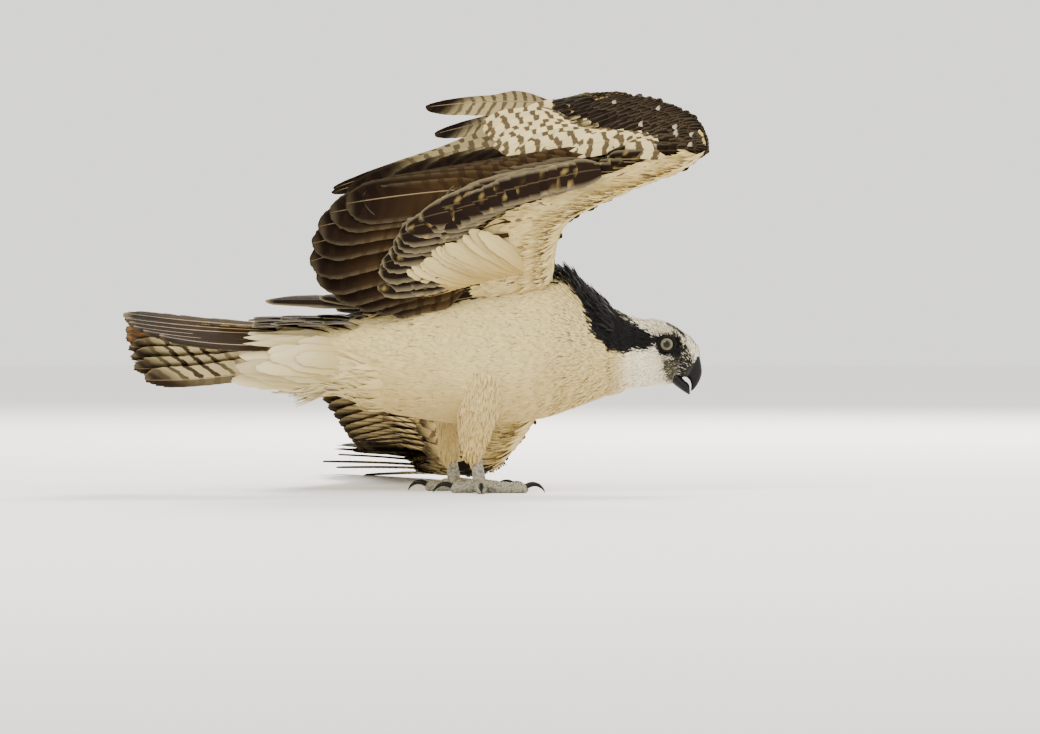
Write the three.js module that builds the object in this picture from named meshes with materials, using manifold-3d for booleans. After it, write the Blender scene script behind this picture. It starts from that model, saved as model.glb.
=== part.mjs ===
// A life-size osprey standing on the floor, one wing raised over its back and the other drooped to the
// floor behind it, as a still museum model. Millimetres, +Z up, +X towards the bill, the bird's right
// side towards -Y. Flesh is lofted from a few sections; feathers are thin closed vanes fused at the root.
import * as THREE from 'three';
import { mergeVertices } from 'three/addons/utils/BufferGeometryUtils.js';
import Module from 'manifold-3d';

const wasm = await Module();
wasm.setup();

// Driving dimensions
const GAP = 0.3;              // clearance between neighbouring sub-parts
const FLOOR = 0;              // the level that the toes and the drooped wing rest on
const EYE_RADIUS = 8;
const EYE_CENTRE = [196.4, 17, 148];
const TOE_RADIUS = 5.4;
const TOE_FLAT = 0.8;         // how far the toe pads are flattened by the floor
const CLAW_RADIUS = 2.7;
const CLAW_REACH = 20;
const FOOT_HEIGHT = 7;        // middle of the pad that carries the toes
const FOOT_PAD = 8.5;
const ANKLE = 15.5;           // top of the foot, where the shank begins
const PRIMARY_WIDTH = 44;
const SECONDARY_WIDTH = 44;
const TAIL_FEATHER_WIDTH = 40;
const QUILL_HALF = 0.6;       // half thickness of a vane along its quill
const EDGE_HALF = 0.3;        // half thickness of a vane at its edges
const SEED = 7;
const MIDDLE = [-55.4, 278.5]; // middle of the whole object's footprint, which becomes the origin

// Sections of the flesh: upper point [x, z], lower point [x, z], half width
const TORSO = [
  [[-130, 176], [-130, 100], 33], [[-90, 187], [-90, 82], 46], [[-40, 198], [-40, 72], 56],
  [[10, 206], [10, 67], 60], [[51, 214], [51, 71], 61], [[78, 221], [78, 75], 59],
];
const NECK = [
  [[78.3, 221], [78.3, 75], 59], [[96, 220], [102, 83], 54], [[115, 203], [126, 92], 45],
  [[136, 187], [146, 99], 36], [[157.7, 176], [159.7, 104], 29],
];
const HEAD = [
  [[158, 176], [160, 104], 29], [[172, 173], [171, 105], 27.5], [[185, 172.5], [182, 106.5], 27],
  [[196, 170], [191, 108], 26], [[206, 165], [197, 108.5], 22.5], [[215, 158], [203, 110.5], 17.5],
  [[221.5, 151], [209, 115], 12.5],
];
const UPPER_BILL = [
  [[222, 150.8], [209.4, 115.3], 12], [[227.5, 143], [215, 115], 10], [[229.8, 135], [217, 114.5], 8.6],
  [[231.5, 126], [219.5, 112], 6.8], [[231.8, 118], [220.8, 109], 5], [[229, 110], [221.2, 105.5], 3.3],
  [[225, 104], [221, 103], 1.6], [[222, 101.2], [221, 101], 0.6],
];
const LOWER_BILL = [
  [[207, 122], [196, 117], 9], [[213, 113.5], [203, 108.5], 8.5], [[218.8, 108], [210, 103], 6],
  [[220, 102], [216, 99], 3.4], [[220, 98.4], [219, 97.4], 0.8],
];
const RUMP = [
  [[-130.3, 176], [-130.3, 100], 33], [[-160, 174], [-160, 99], 29], [[-185, 169], [-185, 104], 21],
  [[-206, 160], [-206, 118], 10],
];
// Sections of the legs: back point, front point, half width, and the leg's own side offset
const THIGH_RIGHT = [
  [[-20, 150], [54, 150], 20], [[-16, 122], [50, 122], 24], [[-13, 95], [37, 95], 21],
  [[-11, 70], [25, 70], 16], [[-8, 48], [17, 48], 11], [[-4, 38.3], [12, 38.3], 7.4],
];
const THIGH_LEFT = [
  [[-62, 140], [12, 140], 20], [[-52, 112], [4, 112], 22], [[-41, 88], [-3, 88], 18],
  [[-34, 66], [-8, 66], 13], [[-31, 46], [-11, 46], 10], [[-28, 36.3], [-13, 36.3], 7.2],
];
const LEG_SIDE = 34;          // the legs stand this far from the middle of the body

// Wing sections: leading point, trailing point, thickness
const ARM_RIGHT = [
  [[84, -30, 212], [-58, -34, 184], 26], [[88, -50, 246], [-66, -56, 206], 20],
  [[101, -64, 271], [-62, -66, 236], 17], [[130, -77, 287], [-45, -76, 266], 16],
  [[170, -87, 305], [0, -82, 286], 15], [[214, -94, 322], [70, -88, 310], 13],
  [[234, -98, 337], [150, -94, 334], 11],
];
const HAND_RIGHT = [
  [[235, -100, 340], [172, -97, 340], 11], [[233, -104, 355], [160, -92, 346], 15],
  [[218, -99, 375], [128, -78, 346], 13], [[185, -73, 390], [100, -48, 350], 9],
  [[150, -43, 397], [70, -16, 366], 6], [[128, -25, 397], [62, 6, 382], 3],
];
const ARM_LEFT = [
  [[84, 30, 168], [-62, 30, 176], 24], [[83, 110, 122], [-80, 105, 142], 18],
  [[71, 178, 76], [-88, 172, 104], 16], [[52, 222, 44], [-62, 222, 66], 14],
  [[36, 248, 26], [-30, 256, 36], 12],
];
const HAND_LEFT = [
  [[34, 252, 23], [-28, 262, 33], 12], [[24, 296, 15], [-34, 304, 24], 10],
  [[8, 344, 10], [-30, 352, 17], 7], [[-4, 368, 7], [-22, 376, 10], 3],
];

// Feather tips, innermost primary first
const PRIMARY_TIPS_RIGHT = [
  [0, -10, 316], [-12, -2, 318], [-25, 8, 316], [-50, 22, 312], [-85, 38, 304],
  [-125, 60, 297], [-140, 95, 300], [-139, 135, 305], [-36, 190, 361], [-45, 165, 388],
];
const PRIMARY_TIPS_LEFT = [
  [-116, 443, 30], [-120, 461, 33], [-125, 481, 36], [-130, 507, 37], [-135, 542, 35],
  [-140, 576, 30], [-145, 614, 23], [-162, 639, 15], [-148, 664, 8], [-116, 611, 0.2],
];
const TAIL_TIPS = [
  [-308, -55, 157], [-325, -48, 162], [-335, -42, 166], [-340, -34, 170], [-344, -24, 174],
  [-346, -10, 179], [-345, 8, 163], [-345, 21, 155], [-342, 33, 145], [-340, 46, 135],
  [-338, 58, 123], [-327, 70, 111],
];

const COLOURS = {
  cream: 0xc8ba92, brown: 0x56432b, pale: 0xc5b07e, bill: 0x2e2a28, leg: 0x85795f, iris: 0xc9b25a,
};

const vec = (p) => new THREE.Vector3(p[0], p[1], p[2]);
const along = (points, t) => new THREE.CatmullRomCurve3(points.map(vec)).getPointAt(t);

// A seeded random number between 0 and 1
function makeRandom(seed) {
  let state = seed;
  return () => {
    state = (state * 1664525 + 1013904223) % 4294967296;
    return state / 4294967296;
  };
}

function solid(positions, triangles) {
  const make = (list) => new wasm.Manifold(new wasm.Mesh({
    numProp: 3, vertProperties: new Float32Array(positions), triVerts: new Uint32Array(list),
  }));
  const made = make(triangles);
  if (made.volume() > 0) return made;
  const turned = [];
  for (let i = 0; i < triangles.length; i += 3) {
    turned.push(triangles[i], triangles[i + 2], triangles[i + 1]);
  }
  return make(turned);
}

// Closed solid through rings of equal length. Quads from the ring's index crossed on are split the
// other way, so that a thin form's two faces are split alike.
function loft(rings, crossed = Infinity) {
  const sides = rings[0].length;
  const positions = [];
  const triangles = [];
  for (const ring of rings) for (const p of ring) positions.push(p.x, p.y, p.z);
  for (let r = 0; r + 1 < rings.length; r++) {
    for (let k = 0; k < sides; k++) {
      const a = r * sides + k;
      const b = r * sides + (k + 1) % sides;
      const c = a + sides;
      const d = b + sides;
      if (k < crossed) triangles.push(a, b, d, a, d, c);
      else triangles.push(a, b, c, b, d, c);
    }
  }
  const last = (rings.length - 1) * sides;
  for (let k = 1; k + 1 < sides; k++) {
    triangles.push(0, k + 1, k);
    triangles.push(last, last + k, last + k + 1);
  }
  return solid(positions, triangles);
}

// Rings between sections, with every number taken along a smooth curve through the sections' own
function blendSections(sections, steps) {
  const flat = sections.map((s) => s.flat());
  const rows = [];
  for (let i = 0; i + 1 < flat.length; i++) {
    const before = flat[Math.max(i - 1, 0)];
    const after = flat[Math.min(i + 2, flat.length - 1)];
    for (let s = 0; s < steps; s++) {
      const t = s / steps;
      rows.push(flat[i].map((p1, k) => {
        const p2 = flat[i + 1][k];
        const m1 = (p2 - before[k]) / 2;
        const m2 = (after[k] - p1) / 2;
        return p1 * (2 * t ** 3 - 3 * t ** 2 + 1) + m1 * (t ** 3 - 2 * t ** 2 + t)
          + p2 * (3 * t ** 2 - 2 * t ** 3) + m2 * (t ** 3 - t ** 2);
      }));
    }
  }
  rows.push(flat[flat.length - 1]);
  return rows;
}

// Flesh: a superellipse in the plane of each section's two points and the Y axis
function flesh(sections, { side = 0, steps = 2, sides = 16, power = 2.2, grow = 0 } = {}) {
  const rings = blendSections(sections, steps).map(([tx, tz, bx, bz, half]) => {
    const reach = Math.hypot(tx - bx, tz - bz) / 2;
    const stretch = (reach + grow) / reach;
    const ring = [];
    for (let k = 0; k < sides; k++) {
      const angle = (2 * Math.PI * k) / sides;
      const up = Math.sign(Math.cos(angle)) * Math.abs(Math.cos(angle)) ** (2 / power) * stretch;
      const out = Math.sign(Math.sin(angle)) * Math.abs(Math.sin(angle)) ** (2 / power);
      ring.push(new THREE.Vector3(
        (tx + bx) / 2 + up * (tx - bx) / 2, side + out * (half + grow), (tz + bz) / 2 + up * (tz - bz) / 2));
    }
    return ring;
  });
  return loft(rings);
}

// Wing base: a cambered blade from a leading point to a trailing point, thickest a quarter of the way
function blade(sections, dorsal, { steps = 2, grow = 0 } = {}) {
  const chord = [[0, 0.45], [0.12, 0.9], [0.35, 1], [0.7, 0.55], [1, 0.12]];
  const rings = blendSections(sections, steps).map(([lx, ly, lz, tx, ty, tz, thick]) => {
    const lead = new THREE.Vector3(lx, ly, lz);
    const line = new THREE.Vector3(tx, ty, tz).sub(lead);
    const length = line.length();
    const dir = line.clone().normalize();
    const up = vec(dorsal).addScaledVector(dir, -vec(dorsal).dot(dir)).normalize();
    const place = ([share, half], sign) => lead.clone()
      .addScaledVector(dir, share * length + (share < 0.5 ? -grow : grow) * Math.abs(1 - 2 * share))
      .addScaledVector(up, 0.05 * length * Math.sin(Math.PI * share) + sign * (half * thick / 2 + grow));
    return [...chord.map((c) => place(c, 1)), ...chord.map((c) => place(c, -1)).reverse()];
  });
  return loft(rings, chord.length);
}

// One feather: half widths follow shape along the quill, the quill bends towards the inner side and
// sags towards the belly side, and roll lifts the outer edge towards the back.
const FEATHER = {
  flight: [[0, 0.3], [0.4, 0.95], [0.84, 0.85], [1, 0.22]],
  notched: [[0, 0.3], [0.36, 1], [0.68, 0.6], [1, 0.16]],
  covert: [[0, 0.6], [0.7, 1], [1, 0.3]],
  lance: [[0, 0.8], [0.5, 1], [1, 0.14]],
};

function vane(root, tip, { outer, dorsal, width, share = 0.4, shape = 'flight', bend = 0, sag = 0,
  roll = 0.1, grow = 0, simple = false }) {
  const start = vec(root);
  const axis = vec(tip).sub(start);
  const dir = axis.clone().normalize();
  const flatSide = vec(outer).addScaledVector(dir, -vec(outer).dot(dir)).normalize();
  const flatUp = new THREE.Vector3().crossVectors(dir, flatSide);
  if (flatUp.dot(vec(dorsal)) < 0) flatUp.negate();
  const rings = FEATHER[shape].map(([t, f]) => {
    const turn = roll * Math.min(1, t * 2.5);
    const side = flatSide.clone().multiplyScalar(Math.cos(turn)).addScaledVector(flatUp, Math.sin(turn));
    const up = flatUp.clone().multiplyScalar(Math.cos(turn)).addScaledVector(flatSide, -Math.sin(turn));
    const arc = 4 * t * (1 - t);
    const mid = start.clone().addScaledVector(axis, t)
      .addScaledVector(flatSide, bend * arc).addScaledVector(flatUp, sag * arc);
    const place = (reach, half) => mid.clone().addScaledVector(side, reach).addScaledVector(up, half);
    const outerEdge = width * share * f + grow;
    const innerEdge = -width * (1 - share) * f - grow;
    const edge = EDGE_HALF + grow;
    if (simple) {
      const flat = 0.4 + grow;
      return [
        place(outerEdge, flat), place(innerEdge, flat), place(innerEdge, -flat), place(outerEdge, -flat),
      ];
    }
    const quill = QUILL_HALF * (1 - 0.4 * t) + grow;
    return [place(outerEdge, edge), place(0, quill), place(innerEdge, edge),
      place(innerEdge, -edge), place(0, -quill), place(outerEdge, -edge)];
  });
  return loft(rings, simple ? 2 : 3);
}

// A round tube along points, with a radius at each
function tube(points, radii, sides = 8) {
  const rings = points.map((p, i) => {
    const before = vec(points[Math.max(i - 1, 0)]);
    const after = vec(points[Math.min(i + 1, points.length - 1)]);
    const dir = after.sub(before).normalize();
    const across = new THREE.Vector3(0, 0, 1).cross(dir);
    if (across.length() < 0.2) across.set(0, 1, 0);
    across.normalize();
    const over = new THREE.Vector3().crossVectors(dir, across);
    return Array.from({ length: sides }, (_, k) => {
      const angle = (2 * Math.PI * k) / sides;
      return vec(p).addScaledVector(across, radii[i] * Math.cos(angle))
        .addScaledVector(over, radii[i] * Math.sin(angle));
    });
  });
  return loft(rings);
}

// A three.js geometry as a solid
function fromGeometry(geometry) {
  geometry.deleteAttribute('normal');
  geometry.deleteAttribute('uv');
  const merged = mergeVertices(geometry, 1e-4);
  return solid(Array.from(merged.attributes.position.array), Array.from(merged.index.array));
}

const ball = (centre, radius, stretch = [1, 1, 1], detail = 10) => {
  const geometry = new THREE.SphereGeometry(radius, detail, Math.round(detail * 0.7));
  geometry.scale(...stretch);
  geometry.translate(...centre);
  return fromGeometry(geometry);
};

const joined = (solids) => wasm.Manifold.union(solids);
const aboveFloor = (part) => part.trimByPlane([0, 0, 1], FLOOR);

// The largest closed surface of a solid
function largest(part) {
  const pieces = part.decompose();
  return pieces.reduce((best, piece) => (piece.volume() > best.volume() ? piece : best));
}

// Flight feathers of one wing from a root line to a list of tips
function fan(roots, tips, settings) {
  return tips.map((tip, i) => {
    const t = tips.length === 1 ? 0 : i / (tips.length - 1);
    return vane(along(roots, t).toArray(), tip, settings(i, t));
  });
}

const spread = (points, count) => Array.from({ length: count }, (_, i) =>
  along(points, i / (count - 1)).toArray());

// Torso with the tertial and scapular tips that lie over the rump
function torso(grow = 0) {
  const body = flesh(TORSO, { grow });
  const settings = (width) => ({
    outer: [0, -1, 0], dorsal: [0, 0, 1], width, share: 0.5, shape: 'lance', roll: 0, sag: 3, grow,
  });
  const scapulars = [
    vane([-60, -20, 186], [-204, -18, 192], settings(24)),
    vane([-55, -30, 180], [-150, -30, 196], settings(22)),
    vane([-60, 18, 186], [-168, 20, 189], settings(24)), vane([-50, 34, 180], [-135, 40, 184], settings(22)),
  ];
  return largest(joined([body, ...scapulars]));
}

// Ragged hindneck feathers, set along the top of the neck and lying back
function napeTufts(stations, grow) {
  const random = makeRandom(SEED);
  const tufts = [];
  for (const [x, z, rows] of stations) {
    for (let k = 0; k < rows; k++) {
      const sideways = (k - (rows - 1) / 2) * 15;
      const root = [x, sideways * 0.8, z - Math.abs(sideways) * 0.35];
      const reach = 24 + 8 * random();
      const tip = [x - reach, sideways * 1.1, root[2] + 9 + 6 * random() - Math.abs(sideways) * 0.15];
      tufts.push(vane(root, tip, {
        outer: [0, 1, 0], dorsal: [0, 0, 1], width: 13, share: 0.5, shape: 'lance', roll: 0, grow,
        simple: true,
      }));
    }
  }
  return tufts;
}

function neck(grow = 0) {
  const body = flesh(NECK, { grow });
  return largest(joined([body, ...napeTufts([[112, 201, 3], [128, 189, 3], [146, 178, 2]], grow)]));
}

function eyes(side, radius) {
  const [x, y, z] = EYE_CENTRE;
  return ball([x, side * y, z], radius, [1, 1, 1], 10);
}

// Ring of the lids, a little proud of the eye
function lids(side) {
  const [x, y, z] = EYE_CENTRE;
  const ring = new THREE.TorusGeometry(EYE_RADIUS + 0.5, 1.5, 4, 12);
  ring.rotateX(Math.PI / 2);
  ring.translate(x, side * (y + 4.2), z);
  return fromGeometry(ring);
}

function brow(side) {
  return ball([EYE_CENTRE[0] + 1, side * 20.5, EYE_CENTRE[2] + 10], 5, [2.4, 0.9, 0.7], 8);
}

// The line of the mouth: a thin slab let into the side of the head
function mouthCut(side) {
  const line = [[194, 128, 19], [203, 121.5, 13], [213, 114.5, 5]];
  const rings = line.map(([x, z, inner]) => [
    [x, side * inner, z + 0.5], [x, side * 40, z + 0.5], [x, side * 40, z - 0.5], [x, side * inner, z - 0.5],
  ].map(vec));
  return loft(rings);
}

function head(grow = 0) {
  let skull = joined([flesh(HEAD, { grow }), brow(1), brow(-1)]);
  if (grow === 0) {
    const [x, y, z] = EYE_CENTRE;
    for (const side of [1, -1]) {
      skull = skull.subtract(ball([x, side * (y + 15), z], 11, [1, 1, 1], 8));
      skull = skull.add(lids(side)).subtract(eyes(side, EYE_RADIUS + GAP)).subtract(mouthCut(side));
    }
  }
  const tufts = [[164, 172, 3], [178, 171, 3]].flatMap(([tx, tz, rows]) =>
    Array.from({ length: rows }, (_, k) => {
      const sideways = (k - (rows - 1) / 2) * 12;
      return vane([tx, sideways, tz - Math.abs(sideways) * 0.3], [tx - 22, sideways * 1.2, tz + 4], {
        outer: [0, 1, 0], dorsal: [0, 0, 1], width: 11, share: 0.5, shape: 'lance', roll: 0, grow,
        simple: true,
      });
    }));
  return largest(skull.add(joined(tufts)));
}

function upperBill() {
  const nostrils = [1, -1].map((side) => ball([220.6, side * 10.6, 133], 2.4, [0.55, 1, 1], 8));
  return largest(flesh(UPPER_BILL, { steps: 1, sides: 12, power: 2 }).subtract(joined(nostrils)));
}

const lowerBill = () => largest(flesh(LOWER_BILL, { steps: 1, sides: 12, power: 2 })
  .subtract(flesh(HEAD, { grow: GAP })));

// Feathered leg with the loose tips that hang at the heel
function thigh(sections, side, grow = 0) {
  const body = flesh(sections, { side, steps: 1, sides: 12, grow });
  const low = sections[sections.length - 2];
  const tufts = [[0, -1], [0.5, -1], [0, 1], [1, 0]].map(([back, out]) => {
    const x = low[0][0] + (low[1][0] - low[0][0]) * (0.3 + 0.5 * back);
    return vane([x, side + out * 7, low[0][1] + 16], [x - 4 + 6 * back, side + out * 10, low[0][1] - 7], {
      outer: [1, 0, 0], dorsal: [0, out || 1, 0], width: 9, share: 0.5, shape: 'lance', roll: 0, grow,
      simple: true,
    });
  });
  return joined([body, ...tufts]);
}

const cutBy = (part, ...others) => largest(others.reduce((rest, other) => rest.subtract(other), part));

// Scaled shank from the feathered leg down to the foot
function shank(top, foot, side) {
  const points = [[top[0], side, top[1]], [(top[0] + foot[0]) / 2, side, (top[1] + foot[1]) / 2],
    [foot[0], side, foot[1]]];
  return tube(points, [6, 5.6, 6.4], 10).trimByPlane([0, 0, 1], ANKLE + GAP);
}

// Short upright neck of the foot that carries the shank
const ankle = (x, side) => tube([[x, side, FOOT_HEIGHT], [x, side, ANKLE]], [6.7, 6.4], 10);

// Four toes with long hooked claws, spread flat on the floor
function foot(x, side, out) {
  const toes = [[8, 46], [-32, 36], [88, 40], [178, 27]];
  const pieces = [ball([x, side, FOOT_HEIGHT], FOOT_PAD, [1.15, 1, 1], 8), ankle(x, side)];
  for (const [turn, reach] of toes) {
    const angle = (turn * out * Math.PI) / 180;
    const place = (distance, height) =>
      [x + Math.cos(angle) * distance, side + Math.sin(angle) * distance, height];
    const low = TOE_RADIUS - TOE_FLAT;
    pieces.push(tube([place(0, 8), place(reach * 0.35, low + 2), place(reach * 0.7, low), place(reach, low)],
      [6.2, TOE_RADIUS, TOE_RADIUS, TOE_RADIUS * 0.72], 7));
    const claw = new THREE.QuadraticBezierCurve3(vec(place(reach - 3, low + 0.6)),
      vec(place(reach + CLAW_REACH * 0.6, low + 11)), vec(place(reach + CLAW_REACH, 0.7)));
    pieces.push(tube(claw.getPoints(4).map((p) => p.toArray()),
      [1, 0.92, 0.74, 0.46, 0.14].map((f) => f * CLAW_RADIUS), 5));
  }
  return aboveFloor(joined(pieces));
}

// Rump with twelve tail feathers: the middle pair on top, each outer one below its neighbour
function tail(grow = 0) {
  const rump = flesh(RUMP, { grow });
  const feathers = TAIL_TIPS.map((tip, i) => {
    const right = i < 6;
    const fromMiddle = right ? 5 - i : i - 6;
    const root = right ? [-150, -3 - 2.8 * fromMiddle, 163 - 2.2 * fromMiddle]
      : [-150, 3 + 2.8 * fromMiddle, 158 - 3.4 * fromMiddle];
    return vane(root, tip, {
      outer: right ? [0, -0.9, -0.44] : [0, 0.77, -0.63], dorsal: [0, 0, 1], width: TAIL_FEATHER_WIDTH,
      share: 0.5 - 0.04 * fromMiddle, bend: 2 * fromMiddle, sag: -3, roll: 0.12, grow,
    });
  });
  const random = makeRandom(SEED + 1);
  const coverts = [];
  for (let k = 0; k < 5; k++) {
    const y = (k - 2) * 13;
    const upperRoot = [-140, y * 0.8, 168 - Math.abs(y) * 0.25];
    coverts.push(vane(upperRoot, [-205 - 18 * random(), y * 1.3, 172 - Math.abs(y) * 0.3], {
      outer: [0, 1, 0], dorsal: [0, 0, 1], width: 24, share: 0.5, shape: 'covert', roll: 0, grow,
      simple: true,
    }));
    const underRoot = [-150, y * 0.7, 108 + Math.abs(y) * 0.35];
    coverts.push(vane(underRoot, [-222 + 24 * random(), y * 1.1, 110 + 8 * random()], {
      outer: [0, 1, 0], dorsal: [0, 0, 1], width: 22, share: 0.5, shape: 'covert', roll: 0, grow,
      simple: true,
    }));
  }
  return largest(joined([rump, ...feathers, ...coverts]));
}

// Two tiers of coverts over the roots of flight feathers, on the belly side and on the back
function coverts(roots, tips, count, lift, { outer, dorsal, width, grow }) {
  const starts = spread(roots, count);
  const ends = spread(tips, count);
  return starts.map((start, i) => {
    const shift = vec(dorsal).normalize().multiplyScalar(lift);
    const from = vec(start).addScaledVector(shift, 0.4).toArray();
    const to = vec(ends[i]).add(shift).toArray();
    return vane(from, to, { outer, dorsal, width, share: 0.5, shape: 'covert', roll: 0.1, grow, simple: true });
  });
}

function armRight(grow = 0) {
  const dorsal = [0, 0.957, 0.29];
  const outer = [0, 0, 1];
  const base = blade(ARM_RIGHT, dorsal, { grow });
  const roots = [[176, -94, 332], [100, -86, 308], [46, -80, 280], [36, -68, 244], [10, -50, 208]];
  const tips = spread([[-15, -52, 303], [-80, -60, 296], [-125, -66, 287], [-151, -64, 264],
    [-157, -54, 222], [-128, -50, 200], [-84, -44, 194]], 12);
  const secondaries = fan(roots, tips, (i, t) => ({
    outer, dorsal, width: SECONDARY_WIDTH, share: 0.42, bend: 5, sag: 7, roll: 0.14, grow, simple: true,
  }));
  const line = [[120, -90, 322], [60, -84, 306], [10, -77, 282], [-24, -66, 250], [-30, -52, 214]];
  const ends = [[40, -77, 304], [-20, -76, 290], [-60, -72, 266], [-82, -64, 238], [-88, -50, 208]];
  return largest(joined([base, ...secondaries,
    ...coverts(line, ends, 6, -6, { outer, dorsal, width: 34, grow }),
    ...coverts(line, ends, 6, 9, { outer, dorsal, width: 34, grow })]));
}

function handRight(grow = 0) {
  const dorsal = [0.5, 0.83, -0.1];
  const outer = [0, 0.3, 0.95];
  const base = blade(HAND_RIGHT, dorsal, { grow });
  const roots = [[184, -92, 352], [150, -76, 358], [112, -44, 374], [100, -20, 386]];
  const primaries = fan(roots, PRIMARY_TIPS_RIGHT, (i) => ({
    outer, dorsal, width: PRIMARY_WIDTH - (i > 6 ? 8 : 0), share: i > 5 ? 0.3 : 0.38,
    shape: i > 5 ? 'notched' : 'flight', bend: 6, sag: 5, roll: 0.12, grow,
  }));
  const line = [[168, -88, 352], [120, -60, 358], [84, -24, 376]];
  const ends = [[70, -52, 334], [10, -14, 334], [-10, 34, 366]];
  const alula = vane([206, -96, 378], [128, -66, 398], {
    outer: [0, 0, 1], dorsal, width: 18, share: 0.5, shape: 'lance', roll: 0, grow, simple: true,
  });
  const cover = coverts(line, ends, 5, -4, { outer, dorsal, width: 30, grow });
  return joined([base, alula, ...primaries, ...cover]);
}

function armLeft(grow = 0) {
  const dorsal = [0.25, 0.35, 0.9];
  const outer = [0.8, 0.5, -0.35];
  const base = blade(ARM_LEFT, dorsal, { grow });
  const roots = [[6, 254, 34], [-10, 200, 78], [-30, 140, 118], [-20, 80, 148]];
  const tips = spread(
    [[-112, 425, 31], [-116, 372, 38], [-130, 312, 58], [-150, 240, 92], [-158, 160, 122]], 11);
  const secondaries = fan(roots, tips, () => ({
    outer, dorsal, width: SECONDARY_WIDTH, share: 0.42, bend: 5, sag: 5, roll: 0.13, grow, simple: true,
  }));
  const line = [[0, 250, 38], [-24, 196, 84], [-44, 130, 124], [-40, 70, 152]];
  const ends = [[-70, 328, 44], [-92, 258, 84], [-112, 184, 118], [-116, 104, 146]];
  return largest(joined([base, ...secondaries,
    ...coverts(line, ends, 5, 8, { outer, dorsal, width: 34, grow }),
    ...coverts(line, ends, 5, -6, { outer, dorsal, width: 34, grow })]));
}

function handLeft(grow = 0) {
  const dorsal = [0.2, 0.1, 0.95];
  const outer = [0.95, 0.3, -0.2];
  const base = blade(HAND_LEFT, dorsal, { grow });
  const roots = [[4, 266, 28], [-4, 300, 22], [-12, 340, 14], [-12, 356, 9]];
  const primaries = fan(roots, PRIMARY_TIPS_LEFT, (i) => ({
    outer, dorsal, width: PRIMARY_WIDTH - (i > 6 ? 8 : 0), share: i > 5 ? 0.3 : 0.38,
    shape: i > 5 ? 'notched' : 'flight', bend: 6, sag: 3, roll: 0.1, grow,
  }));
  const line = [[0, 268, 30], [-10, 310, 22], [-14, 352, 12]];
  const ends = [[-66, 358, 38], [-82, 420, 32], [-72, 476, 14]];
  return aboveFloor(joined([base, ...primaries,
    ...coverts(line, ends, 5, 7, { outer, dorsal, width: 30, grow })]));
}

// Neighbours grown by the gap, which the later sub-parts are cut by
const around = {
  torso: torso(GAP), neck: neck(GAP), tail: tail(GAP), armRight: armRight(GAP), armLeft: armLeft(GAP),
  thighRight: thigh(THIGH_RIGHT, -LEG_SIDE, GAP), thighLeft: thigh(THIGH_LEFT, LEG_SIDE, GAP),
  billUpper: flesh(UPPER_BILL, { steps: 1, sides: 12, power: 2, grow: GAP }),
};

// Node names with their solids and finishes
const parts = [
  ['torso', torso(), COLOURS.cream],
  ['neck', cutBy(neck(), around.torso), COLOURS.cream],
  ['head', cutBy(head(), around.neck), COLOURS.cream],
  ['bill_upper', upperBill(), COLOURS.bill],
  ['bill_lower', cutBy(lowerBill(), around.billUpper), COLOURS.bill],
  ['eye_right', eyes(-1, EYE_RADIUS), COLOURS.iris],
  ['eye_left', eyes(1, EYE_RADIUS), COLOURS.iris],
  ['tail', cutBy(tail(), around.torso), COLOURS.brown],
  ['thigh_right', cutBy(thigh(THIGH_RIGHT, -LEG_SIDE), around.torso), COLOURS.cream],
  ['thigh_left', cutBy(thigh(THIGH_LEFT, LEG_SIDE), around.torso), COLOURS.cream],
  ['shank_right', cutBy(shank([4, 38], [9, 12], -LEG_SIDE), around.thighRight), COLOURS.leg],
  ['shank_left', cutBy(shank([-20.5, 36], [-17, 12], LEG_SIDE), around.thighLeft), COLOURS.leg],
  ['foot_right', foot(10, -LEG_SIDE, -1), COLOURS.leg],
  ['foot_left', foot(-16, LEG_SIDE, 1), COLOURS.leg],
  ['wing_right_arm', cutBy(armRight(), around.torso, around.neck, around.tail), COLOURS.pale],
  ['wing_right_hand', cutBy(handRight(), around.armRight), COLOURS.brown],
  ['wing_left_arm', cutBy(armLeft(), around.torso, around.neck, around.tail, around.thighLeft),
    COLOURS.pale],
  ['wing_left_hand', cutBy(handLeft(), around.armLeft), COLOURS.brown],
];

const group = new THREE.Group();
group.position.set(-MIDDLE[0], -MIDDLE[1], -FLOOR);
for (const [name, part, colour] of parts) {
  const { vertProperties, triVerts } = part.getMesh();
  const geometry = new THREE.BufferGeometry();
  geometry.setAttribute('position', new THREE.BufferAttribute(new Float32Array(vertProperties), 3));
  geometry.setIndex(new THREE.BufferAttribute(new Uint32Array(triVerts), 1));
  const mesh = new THREE.Mesh(geometry, new THREE.MeshStandardMaterial({ color: colour, roughness: 0.8 }));
  mesh.name = name;
  group.add(mesh);
}

export default group;
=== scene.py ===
import math
import bpy
import numpy as np
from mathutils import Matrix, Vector


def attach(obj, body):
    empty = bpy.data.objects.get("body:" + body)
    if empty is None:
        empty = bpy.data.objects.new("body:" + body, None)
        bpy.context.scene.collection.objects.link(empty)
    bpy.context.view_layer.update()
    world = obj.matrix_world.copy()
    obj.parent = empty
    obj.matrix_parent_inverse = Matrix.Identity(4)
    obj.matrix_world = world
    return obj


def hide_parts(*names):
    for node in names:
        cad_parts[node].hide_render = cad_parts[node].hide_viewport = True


bl_info = {
    "name": "Osprey",
    "version": (1, 0, 0),
    "blender": (4, 5, 0),
    "location": "View3D > Sidebar > Osprey",
    "description": "Dresses a life-size osprey with skin, plumage, bill, eyes and feet",
    "category": "Add Mesh",
}

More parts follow.
